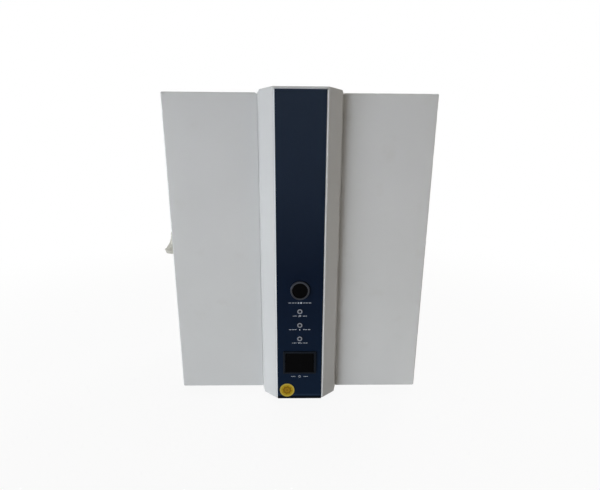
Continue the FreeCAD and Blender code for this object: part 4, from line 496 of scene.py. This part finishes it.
STROKE = 0.5 * MILLIMETRE
RULE = 0.8 * MILLIMETRE
DASHES = ((0.14, 0.2), (0.44, 0.26), (0.82, 0.3))   # middle and length as shares of a rule
SIGN_ROOM = 1.7                    # from a row's middle to its rules, in heights of the sign
ARC_STEPS = 12                     # in a half circle of a wave or coil
DROP_STEPS = 24
RING_GAP = math.radians(35)        # from the bar to the ring's end
BAR_RISE = 0.7                     # from the ring's middle to the bar's, in radii
DROP_RADIUS = 0.32                 # share of the drop's height
DROP_TIP = math.radians(28)        # how far above its middle the drop stays round
COIL_PITCH = 2.6                   # in radii


def ring_sign(build, spot, height):
    """The open ring with a bar that marks a power switch."""
    radius = height / 2
    flat_ring(build, spot, radius, radius - STROKE, math.pi / 2 + RING_GAP,
              2 * math.pi - 2 * RING_GAP)
    flat_bar(build, spot + on_face(0, radius * BAR_RISE), STROKE, radius)


def start_stop_sign(build, spot, height):
    """A triangle and a square."""
    triangle_wide = height * 0.9
    square_side = height * 0.85
    left = spot + on_face(-height * 1.1, 0)
    half = on_face(0, height / 2)
    flat_outline(build, [left - half, left + on_face(triangle_wide, 0), left + half])
    flat_bar(build, spot + on_face(height * 0.7, 0), square_side, square_side)


def wave_sign(build, spot, height):
    """Two waves over each other for the water level."""
    radius = height / 4
    starts = (math.pi, 0, math.pi, 0)
    first = (1 - len(starts)) / 2
    for lift in (-radius, radius):
        for number, start in enumerate(starts):
            middle = spot + on_face((first + number) * (2 * radius - STROKE), lift)
            flat_ring(build, middle, radius, radius - STROKE, start, math.pi, ARC_STEPS)


def drop_sign(build, spot, height):
    """A falling drop for distilling."""
    radius = height * DROP_RADIUS
    middle = spot - on_face(0, height / 2 - radius)
    points = []
    for i in range(DROP_STEPS + 1):
        angle = math.pi - DROP_TIP + (math.pi + 2 * DROP_TIP) * i / DROP_STEPS
        points.append(middle + on_face(math.cos(angle), math.sin(angle)) * radius)
    flat_outline(build, points + [spot + on_face(0, height / 2)])


def heat_sign(build, spot, height):
    """Three upright coils for the heating."""
    radius = height / 4 + STROKE / 4
    for across in (-1, 0, 1):
        for lift, start in ((-1, -math.pi / 2), (1, math.pi / 2)):
            middle = spot + on_face(across * radius * COIL_PITCH, lift * (radius - STROKE / 2))
            flat_ring(build, middle, radius, radius - STROKE, start, math.pi, ARC_STEPS)


def printed_row(name, z, width, sign, height=3 * MILLIMETRE):
    """A sign in the middle of a row, with a broken rule on either side."""
    build = bmesh.new()
    spot = Vector((0, PANEL_FRONT, z))
    sign(build, spot, height)
    start = height * SIGN_ROOM
    reach = width / 2 - start
    for side in (-1, 1):
        for middle, length in DASHES:
            place = spot + on_face(side * (start + reach * middle), 0)
            flat_bar(build, place, reach * length, RULE)
    film(build, name)


UNDER_LAMP = 8.6 * MILLIMETRE      # from a lamp's middle down to its row
UNDER_CONTROL = 6.5 * MILLIMETRE   # from the foot of the button or the switch down to its row


def print_panel():
    under_lamps = (             # piece, width in millimetres, sign
        ("mark_water", 24, wave_sign),
        ("mark_distilling", 37, drop_sign),
        ("mark_heating", 27, heat_sign),
    )
    for lamp, (name, width, sign) in zip(LAMP_ZS, under_lamps):
        printed_row(name, lamp - UNDER_LAMP, width * MILLIMETRE, sign)
    printed_row("mark_start_stop", BUTTON_FOOT - UNDER_CONTROL, 39 * MILLIMETRE, start_stop_sign)
    printed_row("mark_power", SWITCH_FOOT - UNDER_CONTROL, 30 * MILLIMETRE, ring_sign,
                height=4.2 * MILLIMETRE)


# ---------------------------------------------------------------- stage, light and camera

FLOOR_REACH = 30.0
FLOOR_COLOUR = (0.96, 0.96, 0.96, 1)
FLOOR_GLOW = 0.92              # share of the floor beside the object that shows as plain white
FLOOR_NEAR = 0.35              # between these distances the floor fades to plain white
FLOOR_FAR = 1.7
FULL_WHITE = 1.0               # strength of the glow and the world that shows as plain white
AMBIENT_COLOUR = (1.0, 0.93, 0.8, 1)
AMBIENT_STRENGTH = 0.06


def seen_directly(tree):
    """1 for camera, mirror and glass rays, else 0."""
    path = tree.nodes.new("ShaderNodeLightPath")
    total = path.outputs["Is Camera Ray"]
    for name in ("Is Glossy Ray", "Is Transmission Ray"):
        add = tree.nodes.new("ShaderNodeMath")
        add.operation = "ADD"
        add.use_clamp = True
        tree.links.new(total, add.inputs[0])
        tree.links.new(path.outputs[name], add.inputs[1])
        total = add.outputs[0]
    return total


def blend_shaders(tree, factor, first, second, output):
    blend = tree.nodes.new("ShaderNodeMixShader")
    tree.links.new(factor, blend.inputs["Fac"])
    tree.links.new(first, blend.inputs[1])
    tree.links.new(second, blend.inputs[2])
    tree.links.new(blend.outputs["Shader"], tree.nodes[output].inputs["Surface"])


def build_floor():
    """A pale floor that shows the object's shadow close by and is plain white further out."""
    mesh = bpy.data.meshes.new("floor")
    corners = [(x * FLOOR_REACH, y * FLOOR_REACH, 0) for x, y in SQUARE]
    mesh.from_pydata(corners, [], [(0, 1, 2, 3)])
    floor = bpy.data.objects.new("floor", mesh)
    bpy.context.collection.objects.link(floor)
    s = Surface("floor_white").set(Base_Color=FLOOR_COLOUR, Roughness=0.9, Specular_IOR_Level=0.1)
    glow = s.node("ShaderNodeEmission")
    glow.inputs["Strength"].default_value = FULL_WHITE
    away = s.node("ShaderNodeVectorMath", operation="LENGTH")
    s.link(s.place, away.inputs[0])
    fade = s.span(away.outputs["Value"], FLOOR_NEAR, FLOOR_FAR, low=FLOOR_GLOW, kind="SMOOTHSTEP")
    share = s.math("MULTIPLY", seen_directly(s.tree), fade)
    blend_shaders(s.tree, share, s.shader.outputs["BSDF"], glow.outputs["Emission"],
                  "Material Output")
    mesh.materials.append(s.material)


def build_world():
    world = bpy.data.worlds.new("studio")
    bpy.context.scene.world = world
    world.use_nodes = True
    tree = world.node_tree
    ambient = tree.nodes["Background"]
    ambient.inputs["Color"].default_value = AMBIENT_COLOUR
    ambient.inputs["Strength"].default_value = AMBIENT_STRENGTH
    white = tree.nodes.new("ShaderNodeBackground")
    white.inputs["Color"].default_value = (*WHITE, 1)
    white.inputs["Strength"].default_value = FULL_WHITE
    blend_shaders(tree, seen_directly(tree), ambient.outputs["Background"],
                  white.outputs["Background"], "World Output")


def softbox(name, place, heading, width, height, power, colour):
    """An area lamp, which shines along its heading."""
    lamp = bpy.data.lights.new(name, "AREA")
    lamp.shape = "RECTANGLE"
    lamp.size = width
    lamp.size_y = height
    lamp.energy = power
    lamp.color = colour
    thing = bpy.data.objects.new(name, lamp)
    bpy.context.collection.objects.link(thing)
    thing.location = place
    thing.rotation_euler = Vector(heading).to_track_quat("-Z", "Y").to_euler()


def build_lights():
    # The key lamp heads far below level, so that the casing's foot gets a little more light.
    softbox("key", place=(-4.5, -4.2, 0.45), heading=(1.0, 1.0, -9.0), width=4.8, height=0.8,
            power=1760, colour=(0.895, 0.945, 1.0))
    softbox("fill", place=(2.2, -1.8, 0.4), heading=(-2.2, 1.8, -0.8), width=1.2, height=0.7,
            power=4.4, colour=(1.0, 0.72, 0.38))
    softbox("top", place=(0.0, 0.5, 3.0), heading=(0.0, -0.3, -3.0), width=2.0, height=2.0,
            power=34, colour=(1.0, 0.99, 0.97))
    softbox("rear", place=(2.6, 2.9, 1.0), heading=(-2.6, -2.9, -0.7), width=1.6, height=1.2,
            power=70, colour=(1.0, 0.99, 0.98))


# Camera found from the casing's own edges.
CAMERA_PLACE = Vector((-0.0073, -0.6084, 0.3943))
CAMERA_YAW = math.radians(0.83)
CAMERA_PITCH = math.radians(11.66)     # below level
CAMERA_ROLL = math.radians(0.285)
CAMERA_LENS = 18.395                   # millimetres, as the sensor
CAMERA_SENSOR = 36.0
CAMERA_CLIP = 10 * MILLIMETRE


def build_camera():
    lens = bpy.data.cameras.new("camera")
    lens.lens = CAMERA_LENS
    lens.sensor_width = CAMERA_SENSOR
    lens.clip_start = CAMERA_CLIP
    camera = bpy.data.objects.new("camera", lens)
    bpy.context.collection.objects.link(camera)
    forward = math.cos(CAMERA_PITCH)
    ahead = Vector((math.sin(CAMERA_YAW) * forward, math.cos(CAMERA_YAW) * forward,
                    -math.sin(CAMERA_PITCH)))
    level = Vector((math.cos(CAMERA_YAW), -math.sin(CAMERA_YAW), 0))
    up = level.cross(ahead)
    right = level * math.cos(CAMERA_ROLL) + up * math.sin(CAMERA_ROLL)
    turn = Matrix((right, right.cross(ahead), -ahead)).transposed()
    camera.matrix_world = Matrix.Translation(CAMERA_PLACE) @ turn.to_4x4()
    bpy.context.scene.camera = camera


# ---------------------------------------------------------------- build

dress_nodes()
print_panel()
# painted highlight strips beside the panel
highlight_strips()
build_floor()
build_world()
build_lights()
build_camera()
bpy.context.scene.view_settings.view_transform = "Standard"
